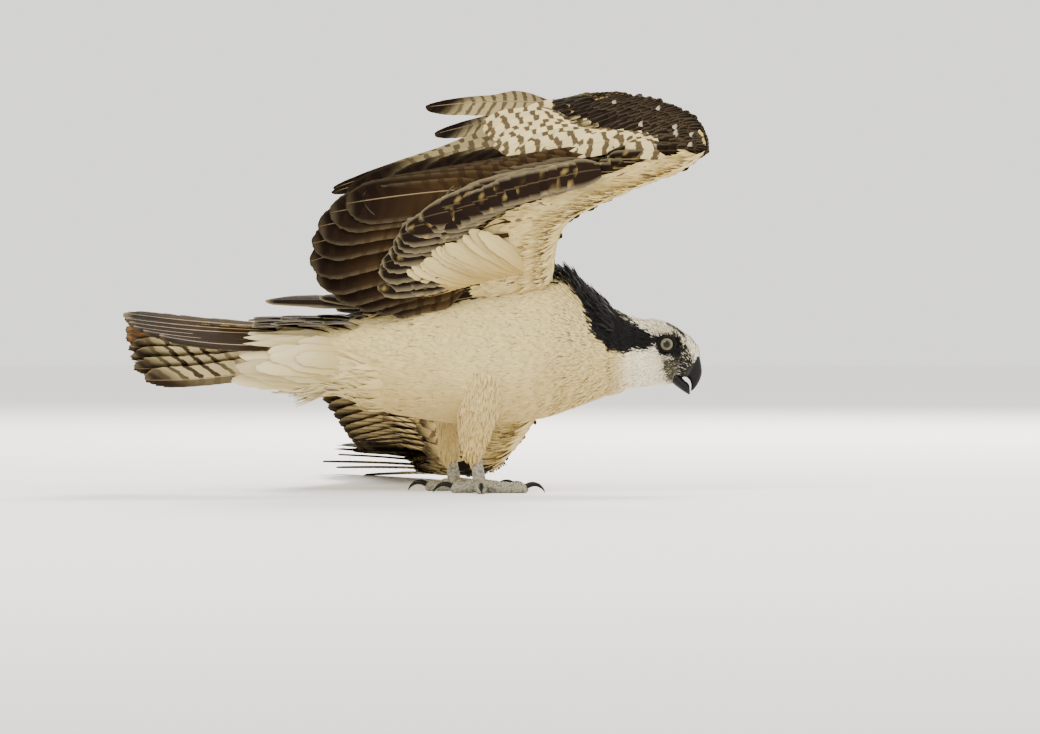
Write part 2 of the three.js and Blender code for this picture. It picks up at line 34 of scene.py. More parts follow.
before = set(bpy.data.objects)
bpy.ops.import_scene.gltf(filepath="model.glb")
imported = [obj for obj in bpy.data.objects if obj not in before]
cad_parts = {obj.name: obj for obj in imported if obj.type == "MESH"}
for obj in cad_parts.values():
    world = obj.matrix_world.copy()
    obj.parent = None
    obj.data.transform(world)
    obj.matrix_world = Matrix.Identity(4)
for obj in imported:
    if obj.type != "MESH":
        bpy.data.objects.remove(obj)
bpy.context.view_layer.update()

# Lengths below are millimetres in the bird's own frame: x towards the bill, y to its left, z up from the floor
MIDDLE = np.array([-55.4, 278.5, 0.0])
MM = 0.001
COAT_DEPTH = 4.0
PHOTO_SIZE = (1040, 734)
PHOTO_CENTRE = (50.0, 125.0)

# Sections of the flesh from the rump to the bill: upper x and z, lower x and z, half width
BODY = np.array([
    [-206, 160, -206, 118, 10], [-185, 169, -185, 104, 21], [-160, 174, -160, 99, 29],
    [-130, 176, -130, 100, 33], [-90, 187, -90, 82, 46], [-40, 198, -40, 72, 56], [10, 206, 10, 67, 60],
    [51, 214, 51, 71, 61], [78, 221, 78, 75, 59], [96, 220, 102, 83, 54], [115, 203, 126, 92, 45],
    [136, 187, 146, 99, 36], [158, 176, 160, 104, 29], [172, 173, 171, 105, 27.5],
    [185, 172.5, 182, 106.5, 27], [196, 170, 191, 108, 26], [206, 165, 197, 108.5, 22.5],
    [215, 158, 203, 110.5, 17.5], [221.5, 151, 209, 115, 12.5],
], float)
UPPER_BILL = np.array([
    [219, 154, 206, 117, 13], [222.5, 150.5, 209.6, 115.5, 11.8], [227.5, 143, 215, 115, 10],
    [229.8, 135, 217, 114.5, 8.6], [231.5, 126, 219.5, 112, 6.8], [231.8, 118, 220.8, 109, 5],
    [229, 110, 221.2, 105.5, 3.3], [225, 104, 221, 103, 1.6], [221.8, 101, 221, 101, 0.3],
], float)
LOWER_BILL = np.array([
    [207, 121, 197, 117, 9], [213, 113.5, 203, 108.5, 8.3], [218.8, 108, 210, 103, 6],
    [220, 102, 216, 99, 3.4], [220, 98.2, 219.6, 97.4, 0.5],
], float)
THIGH_RIGHT = np.array([
    [-20, 150, 54, 150, 20], [-16, 122, 50, 122, 24], [-13, 95, 37, 95, 21], [-11, 70, 25, 70, 16],
    [-8, 48, 17, 48, 11], [-4, 39, 12, 39, 7.4],
], float)
THIGH_LEFT = np.array([
    [-62, 140, 12, 140, 20], [-52, 112, 4, 112, 22], [-41, 88, -3, 88, 18], [-34, 66, -8, 66, 13],
    [-31, 46, -11, 46, 10], [-28, 37, -13, 37, 7.2],
], float)
LEG_SIDE = 34
# Wing sections: leading point, trailing point, thickness
ARM_RIGHT = np.array([
    [84, -30, 212, -58, -34, 184, 26], [88, -50, 246, -66, -56, 206, 20],
    [101, -64, 271, -62, -66, 236, 17], [130, -77, 287, -45, -76, 266, 16],
    [170, -87, 305, 0, -82, 286, 15], [214, -94, 322, 70, -88, 310, 13],
    [234, -98, 337, 150, -94, 334, 11],
], float)
HAND_RIGHT = np.array([
    [235, -100, 340, 172, -97, 340, 11], [233, -104, 355, 160, -92, 346, 15],
    [218, -99, 375, 128, -78, 346, 13], [185, -73, 390, 100, -48, 350, 9],
    [150, -43, 397, 70, -16, 366, 6], [128, -25, 397, 62, 6, 382, 3],
], float)
ARM_LEFT = np.array([
    [84, 30, 168, -62, 30, 176, 24], [83, 110, 122, -80, 105, 142, 18], [71, 178, 76, -88, 172, 104, 16],
    [52, 222, 44, -62, 222, 66, 14], [36, 248, 26, -30, 256, 36, 12],
], float)
HAND_LEFT = np.array([
    [34, 252, 23, -28, 262, 33, 12], [24, 296, 15, -34, 304, 24, 10], [8, 344, 10, -30, 352, 17, 7],
    [-4, 368, 7, -22, 376, 10, 3],
], float)
PRIMARY_TIPS_RIGHT = np.array([
    [0, -10, 316], [-12, -2, 318], [-25, 8, 316], [-50, 22, 312], [-85, 38, 304],
    [-125, 60, 297], [-140, 95, 300], [-139, 135, 305], [-36, 190, 361], [-45, 165, 388],
], float)
PRIMARY_TIPS_LEFT = np.array([
    [-116, 443, 30], [-120, 461, 33], [-125, 481, 36], [-130, 507, 37], [-135, 542, 35],
    [-140, 576, 30], [-145, 614, 23], [-162, 639, 15], [-148, 664, 8], [-116, 611, 1.4],
], float)
TAIL_TIPS = np.array([
    [-308, -55, 157], [-325, -48, 162], [-335, -42, 166], [-340, -34, 170], [-344, -24, 174],
    [-346, -10, 179], [-345, 8, 163], [-345, 21, 155], [-342, 33, 145], [-340, 46, 135],
    [-338, 58, 123], [-327, 70, 111],
], float)
EYE = np.array([196.4, 17.0, 148.0])
EYE_RADIUS = 8.0


def linear(hex_colour):
    """sRGB hex colour as linear red, green, blue and alpha."""
    channels = [int(hex_colour[i:i + 2], 16) / 255 for i in (1, 3, 5)]
    return [c / 12.92 if c <= 0.04045 else ((c + 0.055) / 1.055) ** 2.4 for c in channels] + [1.0]


def unit(v):
    return v / np.maximum(np.linalg.norm(v, axis=-1, keepdims=True), 1e-9)


def smoothstep(low, high, x):
    """Zero below low, one above high, and a smooth cubic between."""
    t = np.clip((x - low) / (high - low), 0, 1)
    return t * t * (3 - 2 * t)


def hermite(rows, t):
    """Rows of numbers read at t from 0 to 1 along a smooth cubic that passes through each row in turn."""
    t = np.clip(np.asarray(t, float), 0, 1) * (len(rows) - 1)
    i = np.minimum(t.astype(int), len(rows) - 2)
    f = (t - i)[..., None]
    p0, p1, p2, p3 = rows[np.maximum(i - 1, 0)], rows[i], rows[i + 1], rows[np.minimum(i + 2, len(rows) - 1)]
    return (p1 * (2 * f**3 - 3 * f**2 + 1) + (p2 - p0) / 2 * (f**3 - 2 * f**2 + f)
            + p2 * (3 * f**2 - 2 * f**3) + (p3 - p1) / 2 * (f**3 - f**2))


def superellipse(sections, u, v, side=0.0, power=2.2, grow=0.0):
    """A tube of superellipse sections: u runs along it and v once round from its upper line. Each section
    lies in the plane of its upper and lower point and the Y axis."""
    s = hermite(sections, u)
    up = np.sign(np.cos(2 * np.pi * v)) * np.abs(np.cos(2 * np.pi * v)) ** (2 / power)
    out = np.sign(np.sin(2 * np.pi * v)) * np.abs(np.sin(2 * np.pi * v)) ** (2 / power)
    reach = np.hypot(s[..., 0] - s[..., 2], s[..., 1] - s[..., 3]) / 2
    stretch = up * (reach + grow) / np.maximum(reach, 0.1)
    return np.stack([
        (s[..., 0] + s[..., 2]) / 2 + stretch * (s[..., 0] - s[..., 2]) / 2,
        side + out * np.maximum(s[..., 4] + grow, 0.2),
        (s[..., 1] + s[..., 3]) / 2 + stretch * (s[..., 1] - s[..., 3]) / 2,
    ], axis=-1)


def wing_surface(sections, dorsal, u, c, face, grow=0.0):
    """A cambered blade: u runs out along the wing, c from its leading to its trailing edge, and face is 1 on
    the back and -1 on the belly side. It is thickest a third of the way along the chord."""
    s = hermite(sections, u)
    lead, trail, thick = s[..., :3], s[..., 3:6], s[..., 6:7]
    line = trail - lead
    length = np.linalg.norm(line, axis=-1, keepdims=True)
    along = line / length
    up = unit(dorsal - along * np.sum(dorsal * along, axis=-1, keepdims=True))
    c = np.asarray(c)[..., None]
    half = np.interp(c[..., 0], [0, 0.03, 0.12, 0.35, 0.7, 1], [0.0, 0.5, 0.9, 1, 0.55, 0.12])[..., None]
    return lead + line * c + up * (0.05 * length * np.sin(np.pi * c) + face * (half * thick / 2 + grow))


def lie(surface, u, v, step=0.004):
    """Place, outward normal and unit vector along u of a surface function at each root."""
    place = surface(u, v)
    along_u = unit(surface(np.clip(u + step, 0, 1), v) - surface(np.clip(u - step, 0, 1), v))
    along_v = unit(surface(u, v + step) - surface(u, v - step))
    return place, unit(np.cross(along_u, along_v)), along_u


def add_object(name, data):
    """A new object of the scene that shows the data."""
    made = bpy.data.objects.new(name, data)
    bpy.context.scene.collection.objects.link(made)
    return made


def add_colours(mesh, key, value):
    """A colour attribute with one row for each point; a row without alpha is opaque."""
    value = value.reshape(-1, value.shape[-1])
    rgba = np.ones((len(value), 4), np.float32)
    rgba[:, :value.shape[-1]] = value
    mesh.attributes.new(key, "FLOAT_COLOR", "POINT").data.foreach_set("color", rgba.ravel())


def new_mesh(name, points, faces, uvs=None, colours=None):
    """A smooth mesh object at the origin from points in millimetres of the bird's frame and rows of corners.
    uvs and colours give a map or attribute name with one row for each point."""
    mesh = bpy.data.meshes.new(name)
    points = (points.reshape(-1, 3) - MIDDLE) * MM
    points[:, 2] = np.maximum(points[:, 2], 0)
    corners = faces.shape[1]
    mesh.vertices.add(len(points))
    mesh.vertices.foreach_set("co", points.astype(np.float32).ravel())
    mesh.loops.add(faces.size)
    mesh.loops.foreach_set("vertex_index", faces.astype(np.int32).ravel())
    mesh.polygons.add(len(faces))
    mesh.polygons.foreach_set("loop_start", (np.arange(len(faces)) * corners).astype(np.int32))
    mesh.polygons.foreach_set("loop_total", np.full(len(faces), corners, np.int32))
    mesh.update(calc_edges=True)
    for key, value in (uvs or {}).items():
        layer = mesh.uv_layers.new(name=key)
        layer.data.foreach_set("uv", value.reshape(-1, 2)[faces.ravel()].astype(np.float32).ravel())
    for key, value in (colours or {}).items():
        add_colours(mesh, key, value)
    mesh.polygons.foreach_set("use_smooth", np.ones(len(faces), bool))
    return add_object(name, mesh)


def one_colour(key, shape):
    """The same colour for every point of an array of that shape."""
    return np.broadcast_to(looks_of(key), shape).copy()


def grid_faces(rows, columns, wrap=False, flip=False):
    """Quads of a grid of points, row after row, closed across its columns if wrap is set."""
    r = np.arange(rows - 1)[:, None]
    c = np.arange(columns if wrap else columns - 1)[None, :]
    after = (c + 1) % columns
    quads = np.stack([r * columns + c, r * columns + after, (r + 1) * columns + after,
                      (r + 1) * columns + c], -1).reshape(-1, 4)
    return quads[:, ::-1] if flip else quads


def repeat_faces(faces, count, stride):
    """The same faces for count copies whose points follow each other."""
    return (faces[None] + (np.arange(count) * stride)[:, None, None]).reshape(-1, faces.shape[1])


def finish_piece(made, finish, nodes=()):
    """Gives a piece its finish, hangs it under the root body and hides the nodes that it replaces."""
    made.data.materials.clear()
    made.data.materials.append(finish_of(finish))
    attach(made, "root")
    if nodes:
        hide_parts(*nodes)


def add_node(tree, kind, links=(), **settings):
    """Adds a node. Settings name its properties, or its sockets by name; links give (socket, output)."""
    node = tree.nodes.new(kind)
    for key, value in settings.items():
        if hasattr(node, key):
            setattr(node, key, value)
        else:
            node.inputs[key.replace("_", " ")].default_value = value
    for key, output in links:
        tree.links.new(output, node.inputs[key])
    return node


def new_material(name):
    material = bpy.data.materials.new(name)
    material.use_nodes = True
    material.node_tree.nodes.clear()
    return material, material.node_tree


def link_or_set(tree, socket, value):
    """Joins an output to a socket, or sets a number or a hex colour on it."""
    if isinstance(value, bpy.types.NodeSocket):
        tree.links.new(value, socket)
    else:
        socket.default_value = linear(value) if isinstance(value, str) else value


def maths(tree, operation, *values):
    """The output of a math node on outputs or plain numbers."""
    node = add_node(tree, "ShaderNodeMath", operation=operation)
    for socket, value in zip(node.inputs, values):
        link_or_set(tree, socket, value)
    return node.outputs[0]


def remap(tree, value, **limits):
    return add_node(tree, "ShaderNodeMapRange", [("Value", value)], **limits).outputs[0]


def times(tree, colour, factor):
    return add_node(tree, "ShaderNodeVectorMath", [(0, colour), (1, factor)], operation="MULTIPLY").outputs[0]


def mix(tree, factor, first, second):
    """Two colours mixed by a factor; each is an output or a hex colour."""
    node = add_node(tree, "ShaderNodeMix", [("Factor", factor)], data_type="RGBA")
    link_or_set(tree, node.inputs[6], first)
    link_or_set(tree, node.inputs[7], second)
    return node.outputs[2]


def tint_of(tree, name="Tint"):
    return add_node(tree, "ShaderNodeAttribute", attribute_name=name).outputs["Color"]


def on_object(tree):
    """Place on the object in metres."""
    return add_node(tree, "ShaderNodeTexCoord").outputs["Object"]


def noise(tree, place, scale, detail=2.0):
    return add_node(tree, "ShaderNodeTexNoise", [("Vector", place)], Scale=scale, Detail=detail).outputs["Fac"]


def map_place(tree, name):
    """A map's place as a vector, and its two parts."""
    place = add_node(tree, "ShaderNodeUVMap", uv_map=name).outputs[0]
    parts = add_node(tree, "ShaderNodeSeparateXYZ", [("Vector", place)])
    return place, parts.outputs["X"], parts.outputs["Y"]


def principled(tree, colour, height=None, strength=1.0, distance=0.0, specular=0.5, invert=False, **settings):
    """A principled shader of one colour, over a bump where a height is given."""
    links = [("Base Color", colour)]
    if height is not None:
        bump = add_node(tree, "ShaderNodeBump", [("Height", height)], Strength=strength, Distance=distance,
                        invert=invert)
        links.append(("Normal", bump.outputs[0]))
    shader = add_node(tree, "ShaderNodeBsdfPrincipled", links, **settings)
    shader.inputs["Specular IOR Level"].default_value = specular
    return shader.outputs[0]


def closed(material, shader):
    """The material with that shader as its surface."""
    add_node(material.node_tree, "ShaderNodeOutputMaterial", [("Surface", shader)])
    return material


# Markings


def polyline_distance(x, z, line):
    """Distance in the x-z plane from each point to a chain of straight pieces."""
    best = np.full(x.shape, 1e9)
    for (x0, z0), (x1, z1) in zip(line[:-1], line[1:]):
        length = (x1 - x0) ** 2 + (z1 - z0) ** 2
        t = np.clip(((x - x0) * (x1 - x0) + (z - z0) * (z1 - z0)) / length, 0, 1)
        best = np.minimum(best, np.hypot(x - x0 - t * (x1 - x0), z - z0 - t * (z1 - z0)))
    return best


def inside(x, z, outline):
    """True where the point lies inside a closed outline: its rays cross it an odd number of times."""
    odd = np.zeros(x.shape, bool)
    for (x0, z0), (x1, z1) in zip(outline, outline[1:] + outline[:1]):
        crosses = (z0 > z) != (z1 > z)
        odd ^= crosses & (x < (x1 - x0) * (z - z0) / (z1 - z0 + 1e-9) + x0)
    return odd


MASK = [(80, 262), (106, 240), (128, 214), (144, 190), (157, 176), (170, 166), (184, 159), (192, 158),
        (205, 160), (212, 155), (216, 146), (219, 135), (214, 130), (204, 131), (196, 136), (188, 139),
        (182, 144), (167, 141), (151, 138), (138, 143), (125, 155), (120, 167), (113, 188), (101, 211),
        (90, 222)]
CHIN = [(193, 131), (203, 134), (214, 134), (222, 124), (211, 107), (203, 109), (196, 114)]
FOREHEAD_STRIPES = [[(200, 168), (208, 163), (214, 158)], [(211, 161), (219, 152), (224, 144)]]


def signed_distance(x, z, outline):
    away = polyline_distance(x, z, outline + outline[:1])
    return np.where(inside(x, z, outline), -away, away)


def plumage(points, normals, random):
    """Colour of the body's plumage at each point: cream below, warmer and darker low on the body as painted
    shade, brown on the back, the dark mask that runs through the eye and down the hindneck, and thin dark
    stripes on a pale crown."""
    x, y, z = points[..., 0], points[..., 1], points[..., 2]
    count = x.shape
    grain = random.normal(0, 1, count)
    cream, warm_shaded_low, white = looks_of("cream"), looks_of("warm_shaded_low"), looks_of("crown")
    dark, brown = looks_of("mask"), looks_of("brown")
    # Warmer and darker towards the bottom of the body: painted shade on the underside over the cream
    low = smoothstep(150, 60, z + 12 * np.sin(x * 0.035 + 1.0) + 6 * np.sin(x * 0.11 + z * 0.07))[..., None]
    colour = cream * (1 - 0.55 * low) + warm_shaded_low * 0.55 * low
    head = smoothstep(140, 175, x)[..., None]
    colour = colour * (1 - head) + white * head
    colour = colour * (1 + 0.05 * grain[..., None])
    ragged = 2.2 * grain + 1.5 * np.sin(x * 0.31 + y * 0.2)
    back = smoothstep(0.74, 0.86, normals[..., 2] + 0.03 * grain) * smoothstep(128, 112, x)
    colour += (brown - colour) * back[..., None]
    crown = smoothstep(0.35, 0.7, normals[..., 2]) * smoothstep(140, 160, x) * smoothstep(206, 196, x)
    streak = (random.random(count) < 0.3) * crown
    colour += (looks_of("streak") - colour) * (0.75 * streak)[..., None]
    mask = smoothstep(1.5, -1.5, signed_distance(x, z, MASK) + ragged * 0.8)
    colour += (dark - colour) * mask[..., None]
    chin = 0.93 * smoothstep(1.5, -1.5, signed_distance(x, z, CHIN) + 1.6 * grain)
    bristles = looks_of("gape") * random.uniform(0.25, 1.3, count)[..., None]
    bristles += (cream - bristles) * (0.5 * (random.random(count) < 0.14))[..., None]
    colour += (bristles - colour) * chin[..., None]
    for line in FOREHEAD_STRIPES:
        stripe = smoothstep(2.4, 1.2, polyline_distance(x, z, line)) * smoothstep(2, 4, np.abs(y))
        colour += (dark - colour) * (0.9 * stripe)[..., None]
    return np.clip(colour, 0.003, 1)


# Feathers


ROW_CROWDING = 1.7
VANE_THICK = 0.35
PATCH = 0.003
BAKE_EDGE, BAKE_REACH = 0.01, 0.975


def feather_width(t, shape):
    """Half width along a feather as a share of its widest, for each kind of outline."""
    if shape == "covert":
        return smoothstep(-0.35, 0.35, t) * np.sqrt(np.clip(1 - ((t - 0.6) / 0.4).clip(0) ** 2.2, 0, 1))
    if shape == "tuft":
        return (0.55 + 0.45 * smoothstep(0, 0.35, t)) * np.clip((1 - t) / 0.72, 0, 1) ** 0.75
    base = 0.1 + 0.9 * smoothstep(0.05, 0.42, t)
    tip = np.sqrt(np.clip(1 - ((t - 0.84) / 0.16).clip(0) ** 2, 0, 1))
    if shape == "notched":
        base = base * (1 - 0.4 * smoothstep(0.42, 0.6, t) - 0.12 * smoothstep(0.6, 0.9, t))
        tip = np.sqrt(np.clip(1 - ((t - 0.8) / 0.2).clip(0) ** 1.7, 0, 1))
    return base * tip


def feather_frame(root, tip, outer, dorsal):
    """The line from root to tip of each feather, with unit vectors along it, to its outer side and up."""
    axis = (tip - root)[:, None, None, :]
    direction = unit(axis)
    outer, dorsal = (np.broadcast_to(v, (len(root), 3))[:, None, None, :] for v in (outer, dorsal))
    flat = unit(outer - direction * np.sum(outer * direction, -1, keepdims=True))
    up = np.cross(direction, flat)
    return axis, direction, flat, up * np.sign(np.sum(up * dorsal, -1, keepdims=True) + 1e-9)


def quill_line(root, axis, flat, up, t, bend, sag):
    """Points at t on each quill, a shallow arc that bends sideways by bend and sags by sag."""
    arc = (4 * t * (1 - t))[..., None]
    return root[:, None, None, :] + axis * t[..., None] + flat * bend * arc + up * sag * arc


def per_feather(values, count):
    """Numbers, each one for all feathers or one for each, shaped to fit their points."""
    return [np.broadcast_to(value, (count,))[:, None, None, None] for value in values]


def feathers(root, tip, outer, dorsal, width, share, shape, rows, columns, random, bend=0.0, sag=0.0,
             roll=0.1, cup=0.06, ragged=0.03, both=True):
    """Many feathers at once. t runs from root to tip and a from -1 at the inner edge to 1 at the outer. A
    point off the quill lies on the side vector, which roll turns about the quill, and drops by cup times the
    width times a squared. With both, a second sheet closes the feather on the belly side. Returns points, t
    and a."""
    count = len(root)
    t = (1 - (1 - np.arange(rows) / (rows - 1)) ** ROW_CROWDING)[None, :, None]
    a = np.linspace(-1, 1, columns)[None, None, :]
    axis, direction, flat, up = feather_frame(root, tip, outer, dorsal)
    width, share, roll, bend, sag = per_feather((width, share, roll, bend, sag), count)
    turn = roll * np.minimum(1, t * 2.5)[..., None]
    side = flat * np.cos(turn) + up * np.sin(turn)
    above = up * np.cos(turn) - flat * np.sin(turn)
    wave = random.normal(0, 1, (count, rows, columns)) * ragged
    edge = np.abs(a) > 0.99
    reach = a * np.where(a > 0, share[..., 0], 1 - share[..., 0]) * width[..., 0] * feather_width(t, shape)
    reach = reach * (1 + np.where(edge, wave, 0))
    middle = quill_line(root, axis, flat, up, t, bend, sag)
    middle = middle + direction * (wave * edge * width[..., 0])[..., None] * 0.8
    drop = -cup * width * (np.abs(a) ** 2)[..., None]
    sheet = middle + side * reach[..., None] + above * drop
    if not both:
        return sheet[:, None], t, a
    lift = above * VANE_THICK * (1 - np.abs(a[..., None]) * 0.9) * np.ones_like(sheet[..., :1])
    return np.stack([sheet + lift / 2, sheet - lift / 2], 1), t, a


def feather_mesh(name, parts, **maps):
    """One mesh from feather sheets of shape copies, faces, rows, columns, with its maps and attributes."""
    copies, layers, rows, columns, _ = parts.shape
    upper = grid_faces(rows, columns)
    stride = rows * columns
    faces = upper if layers == 1 else np.vstack([upper, upper[:, ::-1] + stride])
    return new_mesh(name, parts, repeat_faces(faces, copies, stride * layers), **maps)


def strip_map(copies, layers, rows, columns):
    """A bake map that gives each face of each feather a cell of its own in a grid of upright strips."""
    across = int(math.ceil(math.sqrt(copies * layers * 3)))
    down = int(math.ceil(copies * layers / across))
    cell = np.arange(copies * layers).reshape(copies, layers)[..., None, None]
    u = (cell % across + 0.08 + 0.84 * np.linspace(0, 1, columns)) / across
    v = (cell // across + 0.04 + 0.92 * np.linspace(0, 1, rows)[:, None]) / down
    return np.stack(np.broadcast_arrays(u, v), -1)


def root_map(u, v, layers, rows, columns):
    """A bake map that gives each tuft a small patch at its root's place on the skin's unwrap."""
    x = BAKE_EDGE + BAKE_REACH * u[:, None, None, None] + PATCH * np.linspace(0, 1, columns)
    y = BAKE_EDGE + BAKE_REACH * v[:, None, None, None] + PATCH * np.linspace(0, 1, rows)[:, None]
    both = np.stack(np.broadcast_arrays(x, y), -1)
    return np.broadcast_to(both, (len(u), layers, rows, columns, 2)).copy()


def vane_map(sheet_shape, t, a, length, width):
    """Place on each vane in centimetres: across from the quill, and back from the tip."""
    copies, layers, rows, columns = sheet_shape
    across = a * width[:, None, None] / 20
    back = (1 - t) * length[:, None, None] / 10
    both = np.stack(np.broadcast_arrays(across, back), -1)[:, None]
    return np.broadcast_to(both, (copies, layers, rows, columns, 2)).copy()


def quills(name, root, tip, outer, dorsal, bend, sag, radius):
    """Pale shafts: six-sided tapering tubes along the same arcs as the vanes' own quills."""
    count, rows, sides = len(root), 14, 6
    t = np.linspace(0.24, 0.97, rows)[None, :, None]
    angle = (np.arange(sides) * 2 * np.pi / sides)[None, None, :]
    axis, _, flat, up = feather_frame(root, tip, outer, dorsal)
    bend, sag = per_feather((bend, sag), count)
    size = (radius * (1 - 0.82 * t))[..., None]
    points = quill_line(root, axis, flat, up, t, bend, sag) + size * (
        flat * np.cos(angle)[..., None] + up * np.sin(angle)[..., None] * 0.8)
    faces = repeat_faces(grid_faces(rows, sides, wrap=True), count, rows * sides)
    made = new_mesh(name, points, faces, uvs={"OFBake": strip_map(count, 1, rows, sides)[:, 0]})
    finish_piece(made, "quill")


# Materials


# Centimetres between the barbs of tufts and of vanes, as drawn, and between the bars of a vane
TUFT_BARBS, VANE_BARBS, BAR_PITCH = 0.05, 0.09, 1.7
BAR_COLOUR, SHAFT_COLOUR = "#3a2819", "#a48f66"
# Colours of the eye at shares of the iris's radius
IRIS_RINGS = ((0.0, "#050404"), (0.42, "#050404"), (0.46, "#3f3929"), (0.56, "#554e3a"), (0.72, "#736b50"),
              (0.84, "#5b543e"), (0.89, "#120d08"), (1.0, "#080604"))


def barbs(tree, slope, pitch):
    """A wave across the barbs, which slant back from the quill by slope and lie pitch centimetres apart, and
    the vane's place, with the distance from its quill and from its tip."""
    place, x, back = map_place(tree, "Vane")
    across = maths(tree, "ABSOLUTE", x)
    slant = maths(tree, "MULTIPLY_ADD", across, slope, back)
    wave = maths(tree, "SINE", maths(tree, "MULTIPLY", slant, 2 * math.pi / pitch))
    return wave, place, across, back


def plumage_material():
    """Small body feathers: soft keratin barbs, matt with a faint silky sheen. The colour comes with each
    feather, and the barbs are fine slanting lines, drawn at 0.5 mm so that they show."""
    material, tree = new_material("Contour feather keratin")
    wave = barbs(tree, 3.0, TUFT_BARBS)[0]
    colour = times(tree, tint_of(tree), remap(tree, wave, From_Min=-1.0, To_Min=0.93, To_Max=1.05))
    return closed(material, principled(tree, colour, wave, 0.15, 0.0002, specular=0.15, Roughness=0.8,
                                       Sheen_Weight=0.08, Sheen_Roughness=0.5))


def vane_material(name, see_through):
    """Flight feather and covert vanes: keratin barbs hooked into a sheet that lets some light through. The
    bars cross the vane about every 17 mm, and the barbs slant back from the quill, drawn 0.9 mm apart. The
    Mark colours hold the strength of the bars, their shift and the strength of the shaft line."""
    material, tree = new_material(name)
    marks = add_node(tree, "ShaderNodeSeparateColor", [("Color", tint_of(tree, "Mark"))])
    wave, place, across, back = barbs(tree, 1.1, VANE_BARBS)
    moved = maths(tree, "MULTIPLY_ADD", noise(tree, place, 1.3), 0.9, back)
    leant = maths(tree, "MULTIPLY_ADD", across, 0.35, moved)
    turns = maths(tree, "MULTIPLY", leant, 2 * math.pi / BAR_PITCH)
    band = maths(tree, "SINE", maths(tree, "MULTIPLY_ADD", marks.outputs["Green"], 6.0, turns))
    bars = remap(tree, band, interpolation_type="SMOOTHSTEP", From_Min=0.2, From_Max=0.62)
    colour = mix(tree, maths(tree, "MULTIPLY", bars, marks.outputs["Red"]), tint_of(tree), BAR_COLOUR)
    near = remap(tree, across, interpolation_type="SMOOTHSTEP", From_Min=0.03, From_Max=0.09, To_Min=1.0,
                 To_Max=0.0)
    colour = mix(tree, maths(tree, "MULTIPLY", near, marks.outputs["Blue"]), colour, SHAFT_COLOUR)
    colour = times(tree, colour, remap(tree, wave, From_Min=-1.0, To_Min=0.9, To_Max=1.08))
    shader = principled(tree, colour, wave, 0.25, 0.0003, specular=0.06, Roughness=0.66)
    through = add_node(tree, "ShaderNodeBsdfTranslucent", [("Color", colour)])
    both = add_node(tree, "ShaderNodeMixShader", [(1, shader), (2, through.outputs[0])], Fac=see_through)
    return closed(material, both.outputs[0])


def tinted_material(name, roughness, cell_mm, depth_mm, coat=0.0, specular=0.5, joints=0.0):
    """A solid horn or skin surface that takes its colour from its Tint attribute, with a bump of small
    cells of the given size and depth, whose joints may be darker."""
    material, tree = new_material(name)
    place = on_object(tree)
    cells = add_node(tree, "ShaderNodeTexVoronoi", [("Vector", place)], Scale=1000 / cell_mm).outputs["Distance"]
    grain = remap(tree, noise(tree, place, 260.0, 4.0), To_Min=0.8, To_Max=1.2)
    dark = remap(tree, cells, From_Min=0.35, From_Max=0.75, To_Min=1.0, To_Max=1.0 - joints)
    colour = times(tree, tint_of(tree), maths(tree, "MULTIPLY", grain, dark))
    return closed(material, principled(tree, colour, cells, 0.8, depth_mm * MM, specular, invert=True,
                                       Roughness=roughness, Coat_Weight=coat, Coat_Roughness=0.15))


def quill_material():
    """Feather shafts: smooth hollow keratin, pale straw and slightly glossy."""
    material, tree = new_material("Quill keratin")
    colour = mix(tree, noise(tree, on_object(tree), 90.0, 3.0), "#5c462b", "#a58f62")
    return closed(material, principled(tree, colour, Roughness=0.4))


def eye_material():
    """The eyeball under a clear wet cornea: black pupil, a pale yellow-grey iris with darker rays and a dark
    outer ring, by distance from the eye's axis, which the Eye map holds."""
    material, tree = new_material("Cornea and iris")
    place, distance, _ = map_place(tree, "Eye")
    ramp = add_node(tree, "ShaderNodeValToRGB", [("Fac", distance)])
    while len(ramp.color_ramp.elements) < len(IRIS_RINGS):
        ramp.color_ramp.elements.new(0.5)
    for element, (at, colour) in zip(ramp.color_ramp.elements, IRIS_RINGS):
        element.position = at
        element.color = linear(colour)
    rays = remap(tree, noise(tree, place, 34.0, 3.0), To_Min=0.75, To_Max=1.2)
    return closed(material, principled(tree, times(tree, ramp.outputs[0], rays), specular=0.1, Roughness=0.5,
                                       Coat_Weight=0.35, Coat_Roughness=0.03))


def floor_material():
    """Plain painted board: pale, matt, with a faint unevenness."""
    material, tree = new_material("Matt painted board")
    colour = mix(tree, noise(tree, on_object(tree), 3.0), "#f4f3f1", "#f8f7f5")
    return closed(material, principled(tree, colour, Roughness=0.9))


MATERIAL_MAKERS = {
    "plumage": plumage_material,
    "flight": lambda: vane_material("Flight feather keratin", 0.5),
    "covert": lambda: vane_material("Covert feather keratin", 0.15),
    "skin": lambda: tinted_material("Feathered skin", 0.85, 2.0, 0.3, specular=0.2),
    "horn": lambda: tinted_material("Bill and claw horn", 0.42, 9.0, 0.15, coat=0.03, specular=0.16),
    "lid": lambda: tinted_material("Lid and cere skin", 0.7, 0.9, 0.12, specular=0.15),
    "scales": lambda: tinted_material("Reticulate foot scales", 0.55, 2.3, 1.6, joints=0.55),
    "quill": quill_material,
    "eye": eye_material,
    "floor": floor_material,
}


def finish_of(key):
    """The material of that key, made the first time it is asked for."""
    made = bpy.data.materials.get(bpy.context.scene.get("finish_" + key, ""))
    if made is None:
        made = MATERIAL_MAKERS[key]()
        bpy.context.scene["finish_" + key] = made.name
    return made


# Surfaces of this bird


def body_surface(u, v, grow=0.0):
    return superellipse(BODY, u, v, grow=grow)


